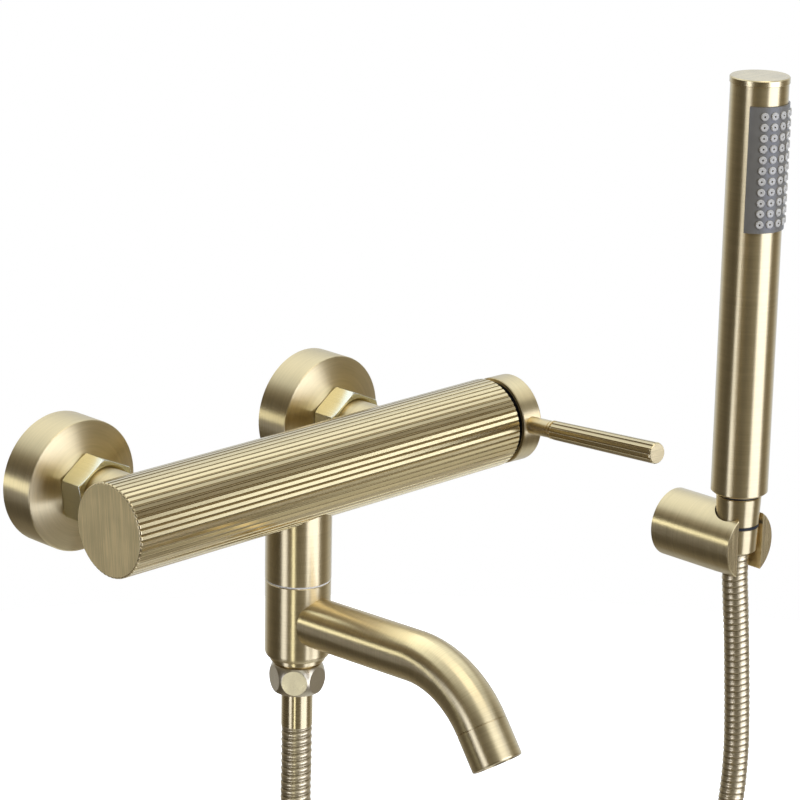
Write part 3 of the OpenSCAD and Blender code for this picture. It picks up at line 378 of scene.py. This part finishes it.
cup_r = COVER_R - COVER_WALL
cover_radii = [COVER_R - (COVER_R - COVER_HOLE_R) * k / DOME_STEPS for k in range(DOME_STEPS + 1)]
cover_profile = ([(cup_r, 0), (COVER_R, 0)] + [(r, dome(r)) for r in cover_radii]
                 + [(r, dome(r, COVER_WALL)) for r in cover_radii[::-1] if r <= cup_r]
                 + [(cup_r, dome(cup_r, COVER_WALL))])
rim_corner = 2
for side, x in INLETS:
    place = from_wall(x, 0)
    make("cover_" + side, turned(cover_profile, [(rim_corner, COVER_EDGE_R)]), place, "mixer",
         ["flange_" + side], brushed_brass("cover_brass_" + side, place, dull=0.32))


# The union nuts: turned and milled from hexagon bar, 29 mm across the flats, polished on the flats.
# The tails between nut and body are plain turned tube with a flange that the nut pulls up.
NUT_OUT, TAIL_OUT = 22.03, 29.03
TAIL_R, TAIL_BORE_R, TAIL_LENGTH = 12.19, 7.5, 25.2
TAIL_FLANGE_R, TAIL_FLANGE = 13.1, 2
tail_profile = [(TAIL_BORE_R, 0), (TAIL_FLANGE_R, 0), (TAIL_FLANGE_R, TAIL_FLANGE),
                (TAIL_R, TAIL_FLANGE + 0.01), (TAIL_R, TAIL_LENGTH), (TAIL_BORE_R, TAIL_LENGTH)]


def softened(node, size, sharp=28, segments=3):
    """A copy of a CAD node with its flat faces whole again and its sharp edges rounded by size mm."""
    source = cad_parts[node]
    bm = bmesh.new()
    bm.from_mesh(source.data)
    bmesh.ops.transform(bm, matrix=source.matrix_world, verts=bm.verts)
    bmesh.ops.remove_doubles(bm, verts=bm.verts, dist=TOUCHING)
    bmesh.ops.dissolve_limit(bm, angle_limit=math.radians(0.6), verts=bm.verts, edges=bm.edges)
    edges = [e for e in bm.edges if e.is_manifold and e.calc_face_angle() > math.radians(sharp)]
    bmesh.ops.bevel(bm, geom=edges, offset=size * MM, segments=segments, profile=0.5, affect="EDGES",
                    clamp_overlap=True, material=-1)
    return bm


def raw_machined(name):
    """Brass as the lathe leaves it inside, where nobody polishes: fine grain, a little oxidised."""
    made, tree = new_material(name)
    spot = add(tree, "TexCoord").outputs["Object"]
    grain = add(tree, "TexNoise", {"Vector": spot, "Scale": 900, "Detail": 3})
    cloud = add(tree, "TexNoise", {"Vector": spot, "Scale": 120, "Detail": 2})
    tint = add(tree, "MixRGB", {"Fac": cloud, "Color1": colour("#B89A5E"), "Color2": colour("#8E7440")})
    rough = add(tree, "MapRange", {"Value": cloud, "To Min": 0.28, "To Max": 0.44})
    bump = add(tree, "Bump", {"Height": grain, "Strength": 0.4, "Distance": 10 * MICRON})
    metal = add(tree, "BsdfPrincipled", {"Base Color": tint, "Metallic": 1.0, "Roughness": rough,
                                         "Normal": bump})
    add(tree, "OutputMaterial", {"Surface": metal})
    return made


def dress_nodes(material, *nodes):
    for node in nodes:
        dress(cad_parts[node], material)


raw_brass = raw_machined("machined_brass")
for side, x in INLETS:
    nut_brass = brushed_brass("nut_brass_" + side, from_wall(x, NUT_OUT), lengthwise=True, tone="#E9E5C6",
                              line=0.3, dull=0.20, spread=0.4, depth=0.5)
    make("hexagon_nut_" + side, softened("union_nut_" + side, size=0.32), Matrix(), "mixer",
         ["union_nut_" + side], nut_brass, even=True)
    dress_nodes(raw_brass, "wall_union_" + side)
    place = from_wall(x, TAIL_OUT)
    make("tail_" + side, turned(tail_profile), place, "mixer", ["inlet_tail_" + side],
         brushed_brass("tail_brass_" + side, place))


# Rubber washers and O-rings: moulded black nitrile, slightly dusty and matt.
def moulded(name, code, dull=0.5, grain=900, depth=10, patch=0.04):
    """A moulded plastic or rubber: the tool's fine grain, and dull patches of a few millimetres."""
    made, tree = new_material(name)
    spot = add(tree, "TexCoord").outputs["Object"]
    fine = add(tree, "TexNoise", {"Vector": spot, "Scale": grain, "Detail": 3})
    cloud = add(tree, "TexNoise", {"Vector": spot, "Scale": 180, "Detail": 2})
    tint = add(tree, "MixRGB", {"Fac": cloud, "Color1": colour(code, 0.9), "Color2": colour(code, 1.12)})
    rough = add(tree, "MapRange", {"Value": cloud, "To Min": dull - patch, "To Max": dull + patch})
    bump = add(tree, "Bump", {"Height": fine, "Strength": 0.5, "Distance": depth * MICRON})
    body = add(tree, "BsdfPrincipled", {"Base Color": tint, "Roughness": rough, "Normal": bump})
    add(tree, "OutputMaterial", {"Surface": body})
    return made


black_rubber = moulded("black_nitrile_rubber", "#1B1B1C", dull=0.62, patch=0.08)
dress_nodes(black_rubber, "union_washer_left", "union_washer_right", "cartridge_seals", "stem_o_rings",
            "aerator_seal", "hose_washer_mixer", "hose_washer_handset")


# The body: a drawn brass barrel of 42 mm with 52 flutes milled along it and a flat, brushed left
# end. Its right end is open for the cartridge. The flutes are polished lengthwise.
FLUTES, FLUTE_DEPTH = 52, 0.55
BODY_R, BODY_BORE_R = 20.85, 17.3
BODY_LEFT, BODY_RIGHT, BODY_BORE_DEPTH = -104.7, 125, 225.7
# Where a flute has its points, as shares of the pitch: a flat ridge, and a round hollow after it.
FLUTE_SHARES = (0.0, 0.56, 0.59, 0.63, 0.69, 0.78, 0.87, 0.93, 0.97)
HOLLOW_MIDDLE, HOLLOW_HALF = 0.78, 0.22
# The broken edges of the two ends: mm in from the end, mm below the ridges, depth of the hollows.
LEFT_EDGE = ((0, 0.95, 0.0), (0, 0.70, 0.0), (0.15, 0.47, 0.08), (0.5, 0.09, 0.46), (0.8, 0, FLUTE_DEPTH))
RIGHT_EDGE = ((0.5, 0, FLUTE_DEPTH), (0.2, 0.15, 0.42), (0, 0.55, 0.0))


def along_body(x):
    """A place on the body's axis, whose local Z points right along it."""
    return Matrix.Translation(Vector((x, AXIS_Y, 0)) * MM) @ Matrix.Rotation(math.radians(90), 4, "Y")


def fluted(bm, count, stations):
    """A bar through (height, outer radius, hollow depth) stations, all in mm, closed at its first
    end. The attribute groove rises from nothing on the ridges to one at a third of a mm down.
    Returns the edges of the open end."""
    sides = len(FLUTE_SHARES)
    hollow = bm.verts.layers.float.new("groove")
    ring = bmesh.ops.create_circle(bm, segments=count * sides, radius=MM, cap_ends=True)["verts"]
    for v in ring:
        k = round(count * sides * math.atan2(v.co.y, v.co.x) / (2 * math.pi))
        a = 2 * math.pi * (k // sides + FLUTE_SHARES[k % sides]) / count
        v.co = Vector((math.cos(a), math.sin(a), 0)) * MM
    edges = ring[0].link_faces[0].edges[:]
    for i, (height, radius, depth) in enumerate(stations):
        if i:
            made = bmesh.ops.extrude_edge_only(bm, edges=edges)["geom"]
            ring = [v for v in made if isinstance(v, bmesh.types.BMVert)]
            fresh = set(ring)
            edges = [e for e in made if isinstance(e, bmesh.types.BMEdge) and fresh.issuperset(e.verts)]
        for v in ring:
            a = math.atan2(v.co.y, v.co.x)
            share = (a / (2 * math.pi) * count) % 1.0
            dip = depth * max(0.0, 1 - ((share - HOLLOW_MIDDLE) / HOLLOW_HALF) ** 2)
            v.co = Vector(((radius - dip) * math.cos(a), (radius - dip) * math.sin(a), height)) * MM
            v[hollow] = min(1.0, 3 * dip)
    return edges


bm = bmesh.new()
rim = fluted(bm, FLUTES, [(BODY_LEFT + step, BODY_R - drop, depth) for step, drop, depth in LEFT_EDGE]
             + [(BODY_RIGHT - step, BODY_R - drop, depth) for step, drop, depth in RIGHT_EDGE])
bore = bmesh.ops.create_circle(bm, segments=2 * FLUTES, radius=BODY_BORE_R * MM, cap_ends=False)["verts"]
bmesh.ops.translate(bm, verts=bore, vec=(0, 0, BODY_RIGHT * MM))
bore_edges = list({e for v in bore for e in v.link_edges})
bmesh.ops.bridge_loops(bm, edges=rim + bore_edges)
inside = bmesh.ops.extrude_edge_only(bm, edges=bore_edges)["geom"]
deep = [v for v in inside if isinstance(v, bmesh.types.BMVert)]
bmesh.ops.translate(bm, verts=deep, vec=(0, 0, -BODY_BORE_DEPTH * MM))
bmesh.ops.contextual_create(bm, geom=[e for e in inside if isinstance(e, bmesh.types.BMEdge)
                                      and all(v in deep for v in e.verts)])
# The body's grooves take painted shade: a darker brown tone in the flutes' hollows.
body_brass = brushed_brass("body_brass", along_body(0), flat=(0, 0.08, 1), lengthwise=True,
                           spread=0.0, dull=0.17, line=0.6, depth=0.1, face_dull=0.36, face_marks=90,
                           groove_shade="#8E7A52")
make("fluted_body", bm, along_body(0), "mixer", ["body_shell"], body_brass, even=True)


# Inside the body: a drilled brass core, the ceramic cartridge with its seals and ring nut, and the
# black ring that closes the mouth round the lever's carrier. The like pieces further down the
# water's way take the same finishes, and the ring in the column's seam is pale plastic.
dress_nodes(raw_brass, "waterway_core", "cartridge_ring_nut", "outlet_stem", "hose_ferrule_handset",
            "handset_connector")
dress_nodes(moulded("fired_alumina", "#EDEBE6", dull=0.22, grain=2400, depth=3, patch=0.03),
            "fixed_disc", "moving_disc")
dress_nodes(moulded("white_acetal", "#E6E3DA", dull=0.42),
            "cartridge_body", "cartridge_carrier", "diverter_sleeve", "spray_chamber", "water_tube")
dress_nodes(moulded("pale_acetal", "#F2E9D2", dull=0.4), "seam_ring")
# The black disc inside the cap is painted shade: it stands in for the shadow in the cap's hollow behind the
# lever. The mouth ring takes the same black.
dress_nodes(moulded("black_acetal_and_shade_disc", "#151515", dull=0.45, patch=0.06), "mouth_ring", "cap_insert")


# The lever: a steel spindle and pin carry a brass cap, a smooth round neck and a fluted grip, which
# is turned with a bevelled end and milled with fourteen flutes. Closed, the cap leans a little, which
# leaves a wedge-shaped gap behind it.
PIVOT_X, LEVER_OUT = 121.7, 12.95
LEVER_RAISED, CAP_LEAN = 5.4, 5
GRIP_FLUTES = 14
# Along the grip: mm from the lever's pivot, radius over the ridges, depth of the hollows.
grip_stations = [(35.82, 3.9, 0.0), (36.1, 4.25, 0.1), (36.6, 4.45, 0.42), (102.0, 4.9, 0.46),
                 (102.5, 4.85, 0.4), (103.0, 4.55, 0.1), (103.2, 4.3, 0.0), (103.2, 4.1, 0.0)]


def steel_part(name):
    """Turned stainless steel: neutral grey, with fine lathe marks."""
    made, tree = new_material(name)
    spot = add(tree, "TexCoord").outputs["Object"]
    fine = add(tree, "TexNoise", {"Vector": spot, "Scale": 1600, "Detail": 3})
    rough = add(tree, "MapRange", {"Value": fine, "To Min": 0.25, "To Max": 0.41})
    bump = add(tree, "Bump", {"Height": fine, "Strength": 0.4, "Distance": 6 * MICRON})
    tint = add(tree, "MixRGB", {"Fac": fine, "Color1": colour("#B9BABB"), "Color2": colour("#A4A5A6")})
    metal = add(tree, "BsdfPrincipled", {"Base Color": tint, "Metallic": 1.0, "Roughness": rough,
                                         "Normal": bump})
    add(tree, "OutputMaterial", {"Surface": metal})
    return made


dress_nodes(steel_part("turned_steel"), "spindle_pin", "handle_spindle", "handle_grub_screw",
            "holder_wall_plate", "holder_grub_screw")
leaned = (Matrix.Translation(Vector((PIVOT_X, AXIS_Y, 0)) * MM)
          @ Matrix.Rotation(math.radians(-LEVER_RAISED), 4, "X")
          @ Matrix.Rotation(math.radians(-CAP_LEAN), 4, "Z"))
cap_place = leaned @ Matrix.Rotation(math.radians(90), 4, "Y")
lever_place = (leaned @ Matrix.Translation((LEVER_OUT * MM, 0, 0))
               @ Matrix.Rotation(math.radians(90), 4, "X"))
dress_nodes(brushed_brass("cap_brass", cap_place), "handle_cap")
dress_nodes(brushed_brass("neck_brass", lever_place, line=0.3, dull=0.24, depth=0.3), "lever_neck")
bm = bmesh.new()
tip = fluted(bm, GRIP_FLUTES, grip_stations)
bmesh.ops.contextual_create(bm, geom=tip)
# The grip's grooves take painted shade: a darker tone in the flutes' hollows.
grip_brass = brushed_brass("grip_brass", lever_place, flat=tuple(lever_place.to_3x3() @ Vector((1, 0, 0))),
                           lengthwise=True, dull=0.19, spread=0.0, line=0.6, depth=0.05, face_dull=0.2,
                           groove_shade="#B5A27A")
make("fluted_grip", bm, lever_place, "handle", ["lever_grip"], grip_brass, even=True)


# The outlet column: a fixed sleeve, a pale ring in the seam, the hub that turns with the spout, and
# a collar. All are turned tube of about 30 mm, brushed round.
COLUMN_X = 4.6


def at_column(z):
    return Matrix.Translation(Vector((COLUMN_X, AXIS_Y, z)) * MM)


dress_nodes(brushed_brass("column_brass", at_column(0), depth=4),
            "outlet_sleeve", "spout_hub", "outlet_collar")


# The spout: tube of 22.8 mm, bent through 57 degrees and let into the hub, with an end sleeve that
# holds the aerator. The belt marks run round the tube and follow its bend.
SPOUT_R, SPOUT_Z, SPOUT_RISE = 11.4, -65.9, 2.1
SPOUT_FOOT, SPOUT_RUN = 11.5, 74.5
BEND_R, BEND = 47, 57.3
SPOUT_SIDES, RUN_STEPS, BEND_STEPS = 96, 6, 40
bend_centre = Vector((SPOUT_RUN, -BEND_R, 0))
spout_place = (at_column(SPOUT_Z) @ Matrix.Rotation(math.radians(-90), 4, "Z")
               @ Matrix.Rotation(math.radians(90), 4, "X")
               @ Matrix.Rotation(math.radians(SPOUT_RISE), 4, "Z"))
spout_end = (spout_place @ Matrix.Translation(bend_centre * MM)
             @ Matrix.Rotation(math.radians(90 - BEND), 4, "Z")
             @ Matrix.Translation((BEND_R * MM, 0, 0)) @ Matrix.Rotation(math.radians(90), 4, "X"))


def bent_spout():
    """A ring drawn straight out of the hub and then spun round the bend, with a map for the marks:
    the share of a turn round the tube, and the mm along it."""
    bm = bmesh.new()
    ring = bmesh.ops.create_circle(bm, segments=SPOUT_SIDES, radius=SPOUT_R * MM, cap_ends=False)["verts"]
    bmesh.ops.rotate(bm, verts=ring, cent=(0, 0, 0), matrix=Matrix.Rotation(math.radians(90), 3, "Y"))
    bmesh.ops.translate(bm, verts=ring, vec=(SPOUT_FOOT * MM, 0, 0))
    edges = bm.edges[:]
    bmesh.ops.contextual_create(bm, geom=edges)
    for step in range(RUN_STEPS):
        made = bmesh.ops.extrude_edge_only(bm, edges=edges)["geom"]
        verts = [v for v in made if isinstance(v, bmesh.types.BMVert)]
        edges = [e for e in made if isinstance(e, bmesh.types.BMEdge) and all(v in verts for v in e.verts)]
        bmesh.ops.translate(bm, verts=verts, vec=((SPOUT_RUN - SPOUT_FOOT) / RUN_STEPS * MM, 0, 0))
    spun = bmesh.ops.spin(bm, geom=edges + verts, cent=bend_centre * MM, axis=(0, 0, 1),
                          angle=-math.radians(BEND), steps=BEND_STEPS)["geom_last"]
    bmesh.ops.contextual_create(bm, geom=[e for e in spun if isinstance(e, bmesh.types.BMEdge)])
    bmesh.ops.remove_doubles(bm, verts=bm.verts, dist=TOUCHING)
    layer = bm.loops.layers.uv.new("marks")
    for face in bm.faces:
        spots = []
        for loop in face.loops:
            x, y, z = loop.vert.co / MM
            run, up = x, y
            if x > SPOUT_RUN:
                run = SPOUT_RUN + BEND_R * math.atan2(x - SPOUT_RUN, y + BEND_R)
                up = math.hypot(x - SPOUT_RUN, y + BEND_R) - BEND_R
            spots.append([math.atan2(z, up) / (2 * math.pi), run])
        if len(spots) == 4:
            for spot in spots[1:]:
                spot[0] += round(spots[0][0] - spot[0])
        for loop, spot in zip(face.loops, spots):
            loop[layer].uv = spot
    return bm


def spout_brass():
    """Brushed brass for the bent tube: the marks and the tangent come from the piece's own map."""
    mark_spacing = 0.45
    made, tree = new_material("spout_brass")
    spot = add(tree, "TexCoord").outputs["Object"]
    marks = add(tree, "Mapping", {"Vector": add(tree, "UVMap", uv_map="marks"),
                                  "Scale": (0, 1 / mark_spacing, 1)})
    marks = add(tree, "VectorMath", {0: spot, 1: (MARKS_BREAK, MARKS_BREAK, MARKS_BREAK), 2: marks},
                operation="MULTIPLY_ADD")
    streak = add(tree, "TexNoise", {"Vector": marks, "Scale": 1.0, "Detail": 4, "Roughness": 0.7})
    worn = add(tree, "MapRange", {"Value": streak, "From Min": 0.32, "From Max": 0.68})
    pale = add(tree, "MixRGB", {"Fac": worn, "Color1": colour(BRASS, 0.90), "Color2": colour(BRASS, 1.07)})
    rough = add(tree, "MapRange", {"Value": streak, "From Min": 0.25, "From Max": 0.75,
                                   "To Min": 0.28, "To Max": 0.34})
    bump = add(tree, "Bump", {"Height": streak, "Strength": 1.0, "Distance": 3 * MICRON})
    tangent = add(tree, "Tangent", direction_type="UV_MAP", uv_map="marks")
    metal = add(tree, "BsdfPrincipled", {"Base Color": pale, "Metallic": 1.0, "Roughness": rough,
                                         "Anisotropic": 0.88, "Anisotropic Rotation": 0.25,
                                         "Tangent": tangent, "Normal": bump})
    add(tree, "OutputMaterial", {"Surface": metal})
    return made


make("bent_spout", bent_spout(), spout_place, "spout", ["spout_tube"], spout_brass())
dress_nodes(brushed_brass("mouth_brass", spout_end), "mouth_sleeve")
dress_nodes(moulded("grey_aerator_plastic", "#A9A9A4", dull=0.4), "aerator_insert")


# The nut at the mixer: turned to a barrel and milled with six round flats, then blasted with fine
# beads, so it looks paler and grainier than the belt-polished parts. The hose's sleeve is below it.
SLEEVE_Z = -100


def blasted_brass(name):
    """Brass with the fine pits that the beads leave."""
    made, tree = new_material(name)
    spot = add(tree, "TexCoord").outputs["Object"]
    grain = add(tree, "TexNoise", {"Vector": spot, "Scale": 1900, "Detail": 3, "Roughness": 0.6})
    cloud = add(tree, "TexNoise", {"Vector": spot, "Scale": 210, "Detail": 2})
    tint = add(tree, "MixRGB", {"Fac": grain, "Color1": colour("#CDBE9C", 0.78),
                                "Color2": colour("#CDBE9C", 1.15)})
    rough = add(tree, "MapRange", {"Value": cloud, "To Min": 0.23, "To Max": 0.37})
    bump = add(tree, "Bump", {"Height": grain, "Strength": 0.8, "Distance": 20 * MICRON})
    metal = add(tree, "BsdfPrincipled", {"Base Color": tint, "Metallic": 1.0, "Roughness": rough,
                                         "Normal": bump})
    add(tree, "OutputMaterial", {"Surface": metal})
    return made


make("round_flat_nut", softened("hose_nut", size=0.06, sharp=14, segments=2), Matrix(), "mixer", ["hose_nut"],
     blasted_brass("blasted_brass"), even=True)
dress_nodes(brushed_brass("sleeve_brass", at_column(SLEEVE_Z), line=0.3, dull=0.26, depth=0.5),
            "hose_ferrule_mixer")


# The hand shower: a brass tube of 30 mm with a flat cap, a black ring at its neck and a cone nut
# with an O-ring that sits in the holder. The belt marks run round it. The spray plate is grey
# plastic, and the soft nozzles are paler.
HAND_X, HAND_Y = 348.3, -43.7
at_hand = Matrix.Translation(Vector((HAND_X, HAND_Y, 0)) * MM)
dress_nodes(brushed_brass("hand_brass", at_hand, depth=5), "handset_tube", "cone_nut")
dress_nodes(brushed_brass("top_brass", at_hand, flat=(1, 0, 0), line=0.4, dull=0.24, spread=0.5, depth=0.2),
            "handset_top_cap")
dress_nodes(black_rubber, "cone_o_ring", "neck_ring")
dress_nodes(moulded("grey_abs", "#7A7465", dull=0.38, grain=1500, depth=4), "nozzle_plate")
dress_nodes(moulded("grey_silicone", "#C9C1AC", dull=0.5, grain=1500, depth=3), "nozzle_mat")


# The wall holder: solid brass bar of 37 mm, bored to a cone and slotted to the front, and pushed
# over a wall plate. The barrel is brushed round and the front is brushed upright.
HOLDER_Z = -118.7
dress_nodes(brushed_brass("holder_brass", from_wall(HAND_X, 0, HOLDER_Z), flat=(0, 0, 1), spread=0.6,
                          face_dull=-0.08), "holder_body")


# The floor: a pale, matt disc of painted board just under the hose's lowest turn. It carries the
# shadow. Only the camera sees it, so the metal's low reflections meet the room below. It glows more
# the further it is from the object, until it is as white as the background.
FLOOR_R = 1.1
floor_centre = Vector((0.12, -0.05, -0.5005))
floor_mesh = bmesh.new()
bmesh.ops.create_circle(floor_mesh, segments=96, radius=FLOOR_R, cap_ends=True)
bmesh.ops.translate(floor_mesh, verts=floor_mesh.verts, vec=floor_centre)
floor = to_object("floor", floor_mesh)
board, tree = new_material("painted_board")
spot = add(tree, "TexCoord").outputs["Object"]
mottle = add(tree, "TexNoise", {"Vector": spot, "Scale": 14, "Detail": 3})
tint = add(tree, "MixRGB", {"Fac": mottle, "Color1": colour("#E6E2DA"), "Color2": colour("#ECE8E0")})
matt = add(tree, "BsdfPrincipled", {"Base Color": tint, "Roughness": 0.9, "Specular IOR Level": 0.2})
away = add(tree, "VectorMath", {0: spot, 1: floor_centre}, operation="DISTANCE").outputs["Value"]
fade = add(tree, "MapRange", {"Value": away, "From Min": 0.35, "From Max": 1.05,
                              "To Min": 0.45, "To Max": 1.0})
glow = add(tree, "Emission", {"Color": (1, 1, 1, 1), "Strength": fade})
seen = add(tree, "LightPath").outputs["Is Camera Ray"]
add(tree, "OutputMaterial", {"Surface": add(tree, "MixShader", {
    0: seen, 1: add(tree, "BsdfTransparent"), 2: add(tree, "AddShader", {0: matt, 1: glow})})})
dress(floor, board)


# The studio: a broad soft window in front, a narrow lit strip at the left, a pale wall from the
# right round to the back, a pale ceiling, and dark room between them, which gives the metal its
# stripes. Each band holds the light level at azimuths in degrees from +X, at one range of heights.
BRIGHTEST = 4
LEVEL_BAND = [
    (-180, 0.22), (-165, 0.22), (-157, 0.14), (-142, 0.10), (-133, 0.13), (-120, 0.20), (-60, 0.34),
    (-53, 0.36), (-45, 0.26), (-37, 0.22), (-21, 0.33), (-5, 0.62), (11, 0.74), (27, 0.90), (48, 0.78),
    (64, 0.76), (83, 0.68), (99, 0.35), (115, 0.17), (131, 0.12), (147, 0.09), (165, 0.10), (180, 0.22)]
UPPER_BAND = [
    (-180, 0.20), (-130, 0.20), (-114, 1.1), (-84, 1.1), (-64, 0.25), (-30, 0.20), (-12, 0.60),
    (14, 0.90), (45, 0.95), (76, 1.0), (109, 0.95), (122, 0.70), (132, 0.30), (180, 0.20)]
TOP_BAND = [(-180, 0.60), (-120, 0.80), (-60, 0.70), (-25, 0.80), (0, 1.4), (110, 1.25), (140, 0.85),
            (180, 0.60)]
LOW_BAND = [(-180, 0.12), (-120, 0.14), (-60, 0.18), (-31, 0.17), (-18, 0.30), (-2, 0.50), (15, 0.62),
            (36, 0.70), (50, 0.34), (75, 0.20), (92, 0.17), (108, 0.11), (130, 0.08), (180, 0.12)]
FLOOR_BAND = [(-180, 0.40), (-60, 0.7), (0, 0.9), (60, 0.8), (95, 0.25), (130, 0.20), (180, 0.40)]
# Each band takes over from the level one between two heights, given as the sine of the elevation.
FURTHER_BANDS = ((UPPER_BAND, 0.36, 0.44), (TOP_BAND, 0.62, 0.70), (LOW_BAND, -0.41, -0.49),
                 (FLOOR_BAND, -0.76, -0.82))
# The lit boxes: azimuth, half width, softness, lowest and highest elevation in degrees, light level.
SOFT_BOXES = [(-81, 22, 4.5, -26, 23, 2.7), (179, 8.5, 3.5, -24, 8, 2.7)]
BOX_EDGE = 4


def studio_world():
    """The world that the metal reflects. A ramp holds values up to one, so each level is stored as
    a share of the brightest. The camera itself sees plain white."""
    world = bpy.data.worlds.new("studio")
    bpy.context.scene.world = world
    world.use_nodes = True
    tree = world.node_tree
    tree.nodes.clear()
    way = add(tree, "SeparateXYZ", {0: add(tree, "TexCoord").outputs["Generated"]})
    turn = add(tree, "Math", {0: way.outputs["Y"], 1: way.outputs["X"]}, operation="ARCTAN2")
    share = add(tree, "MapRange", {"Value": turn, "From Min": -math.pi, "From Max": math.pi})

    def light(level, green, blue):
        return (level / BRIGHTEST, level * green / BRIGHTEST, level * blue / BRIGHTEST, 1)

    def tinted(level):
        """A light level of the room: warm where it is dark and cool where it is bright."""
        cool = min(1.0, max(0.0, (level - 0.2) / 0.6))
        return light(level, 0.92 + 0.20 * cool, 0.80 + 0.55 * cool)

    def round_the_room(stops):
        """A band of the room as a ramp round the horizon."""
        ramp = add(tree, "ValToRGB", {"Fac": share})
        ramp.color_ramp.elements[0].position = (stops[0][0] + 180) / 360
        ramp.color_ramp.elements[1].position = (stops[-1][0] + 180) / 360
        for azimuth, _ in stops[1:-1]:
            ramp.color_ramp.elements.new((azimuth + 180) / 360)
        for element, (_, level) in zip(ramp.color_ramp.elements, stops):
            element.color = tinted(level)
        return ramp

    def edge(value, start, end):
        return add(tree, "MapRange", {"Value": value, "From Min": start, "From Max": end},
                   interpolation_type="SMOOTHSTEP").outputs[0]

    rise = way.outputs["Z"]
    room = round_the_room(LEVEL_BAND)
    for band, start, end in FURTHER_BANDS:
        room = add(tree, "MixRGB", {"Fac": edge(rise, start, end), "Color1": room,
                                    "Color2": round_the_room(band)})
    flat_way = add(tree, "CombineXYZ", {"X": way.outputs["X"], "Y": way.outputs["Y"]})
    flat_way = add(tree, "VectorMath", {0: flat_way}, operation="NORMALIZE")
    for azimuth, half, soft, low, high, level in SOFT_BOXES:
        a = math.radians(azimuth)
        near = add(tree, "VectorMath", {0: flat_way, 1: (math.cos(a), math.sin(a), 0)},
                   operation="DOT_PRODUCT").outputs["Value"]
        inside = edge(near, math.cos(math.radians(half + soft)), math.cos(math.radians(half - soft)))
        for start, end in ((low - BOX_EDGE, low + BOX_EDGE), (high + BOX_EDGE, high - BOX_EDGE)):
            within = edge(rise, math.sin(math.radians(start)), math.sin(math.radians(end)))
            inside = add(tree, "Math", {0: inside, 1: within}, operation="MULTIPLY")
        room = add(tree, "MixRGB", {"Fac": inside, "Color1": room, "Color2": light(level, 1.13, 1.6)})
    seen = add(tree, "Background", {"Color": (1, 1, 1, 1), "Strength": 1.0})
    lit = add(tree, "Background", {"Color": room, "Strength": BRIGHTEST})
    path = add(tree, "LightPath")
    shown = add(tree, "MixShader", {0: path.outputs["Is Camera Ray"], 1: lit, 2: seen})
    add(tree, "OutputWorld", {"Surface": shown})


studio_world()


def soft_lamp(name, aim, azimuth, elevation, distance, size, power, only=(), tint=(0.88, 0.96, 1),
              past=()):
    """A soft box that faces a point from a direction in degrees. only names the pieces it lights,
    and past the only pieces that cast a shadow in its light."""
    a, e = math.radians(azimuth), math.radians(elevation)
    away = distance * Vector((math.cos(a) * math.cos(e), math.sin(a) * math.cos(e), math.sin(e)))
    lamp = bpy.data.objects.new(name, bpy.data.lights.new(name, "AREA"))
    lamp.data.shape = "RECTANGLE"
    lamp.data.size, lamp.data.size_y = size
    lamp.data.energy = power
    lamp.data.color = tint
    lamp.location = Vector(aim) + away
    lamp.rotation_euler = away.to_track_quat("Z", "Y").to_euler()
    lamp.visible_camera = False
    bpy.context.collection.objects.link(lamp)
    for pieces, kind in ((only, "receiver"), (past, "blocker")):
        if pieces:
            group = bpy.data.collections.new(name + "_" + kind)
            for piece in pieces:
                group.objects.link(bpy.data.objects.get(piece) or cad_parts[piece])
            setattr(lamp.light_linking, kind + "_collection", group)


# A large box above the front lights everything and draws the shadow on the floor.
soft_lamp("overhead_lamp", (0.13, -0.06, -0.05), -100, 68, 1.8, (1.2, 0.9), 5,
          tint=(1, 0.98, 1))
# A strip close to the column draws the second, narrow stripe down it and the nut and hose below.
soft_lamp("near_strip", (0.0046, -0.0712, -0.07), 211, -15, 0.32, (0.047, 0.30), 0.12,
          only=("outlet_sleeve", "spout_hub", "outlet_collar", "hose_ferrule_mixer", "hose_from_mixer",
                "round_flat_nut"))
# Two strips at the back left draw the stripe along the body and the covers' left sides, and the
# one along the holder and the spout.
soft_lamp("side_strip", (0, -0.05, 0), 137, -5, 1.0, (0.35, 0.20), 0.70,
          only=("fluted_body", "cover_left", "cover_right", "fluted_grip", "lever_neck"))
soft_lamp("second_side_strip", (0.18, -0.06, -0.09), 138, 5, 1.0, (0.35, 0.15), 0.78,
          only=("holder_body", "bent_spout", "mouth_sleeve"))
# Three boxes at the front right, one of them low, draw the pale ridges of the body and the grip.
body_middle = (0.02, -0.0712, 0)
soft_lamp("front_strip", body_middle, -46, 3, 1.2, (0.40, 0.84), 2.0,
          only=("fluted_body",), past=("fluted_body",), tint=(0.66, 0.78, 1))
soft_lamp("front_fill", body_middle, -36, 2, 1.0, (0.35, 1.3), 0.60,
          only=("fluted_body", "fluted_grip", "lever_neck"), past=("fluted_body",), tint=(0.75, 0.85, 1))
soft_lamp("low_fill", body_middle, -28, -36, 1.0, (0.35, 0.5), 0.26,
          only=("fluted_body",), past=("fluted_body",))
# One at the front right draws the cap's stripe, and one behind and above shows the spout's back.
soft_lamp("cap_strip", (0.13, -0.0712, 0), -46, -1, 1.0, (0.3, 0.52), 0.8,
          only=("handle_cap",), past=("fluted_body",), tint=(1, 0.98, 0.95))
soft_lamp("spout_lamp", (0.0046, -0.12, -0.064), 90, 48, 0.6, (0.7, 0.25), 1.5,
          only=("bent_spout",), past=("bent_spout",), tint=(0.8, 0.92, 1))

bpy.context.scene.view_settings.view_transform = "Standard"
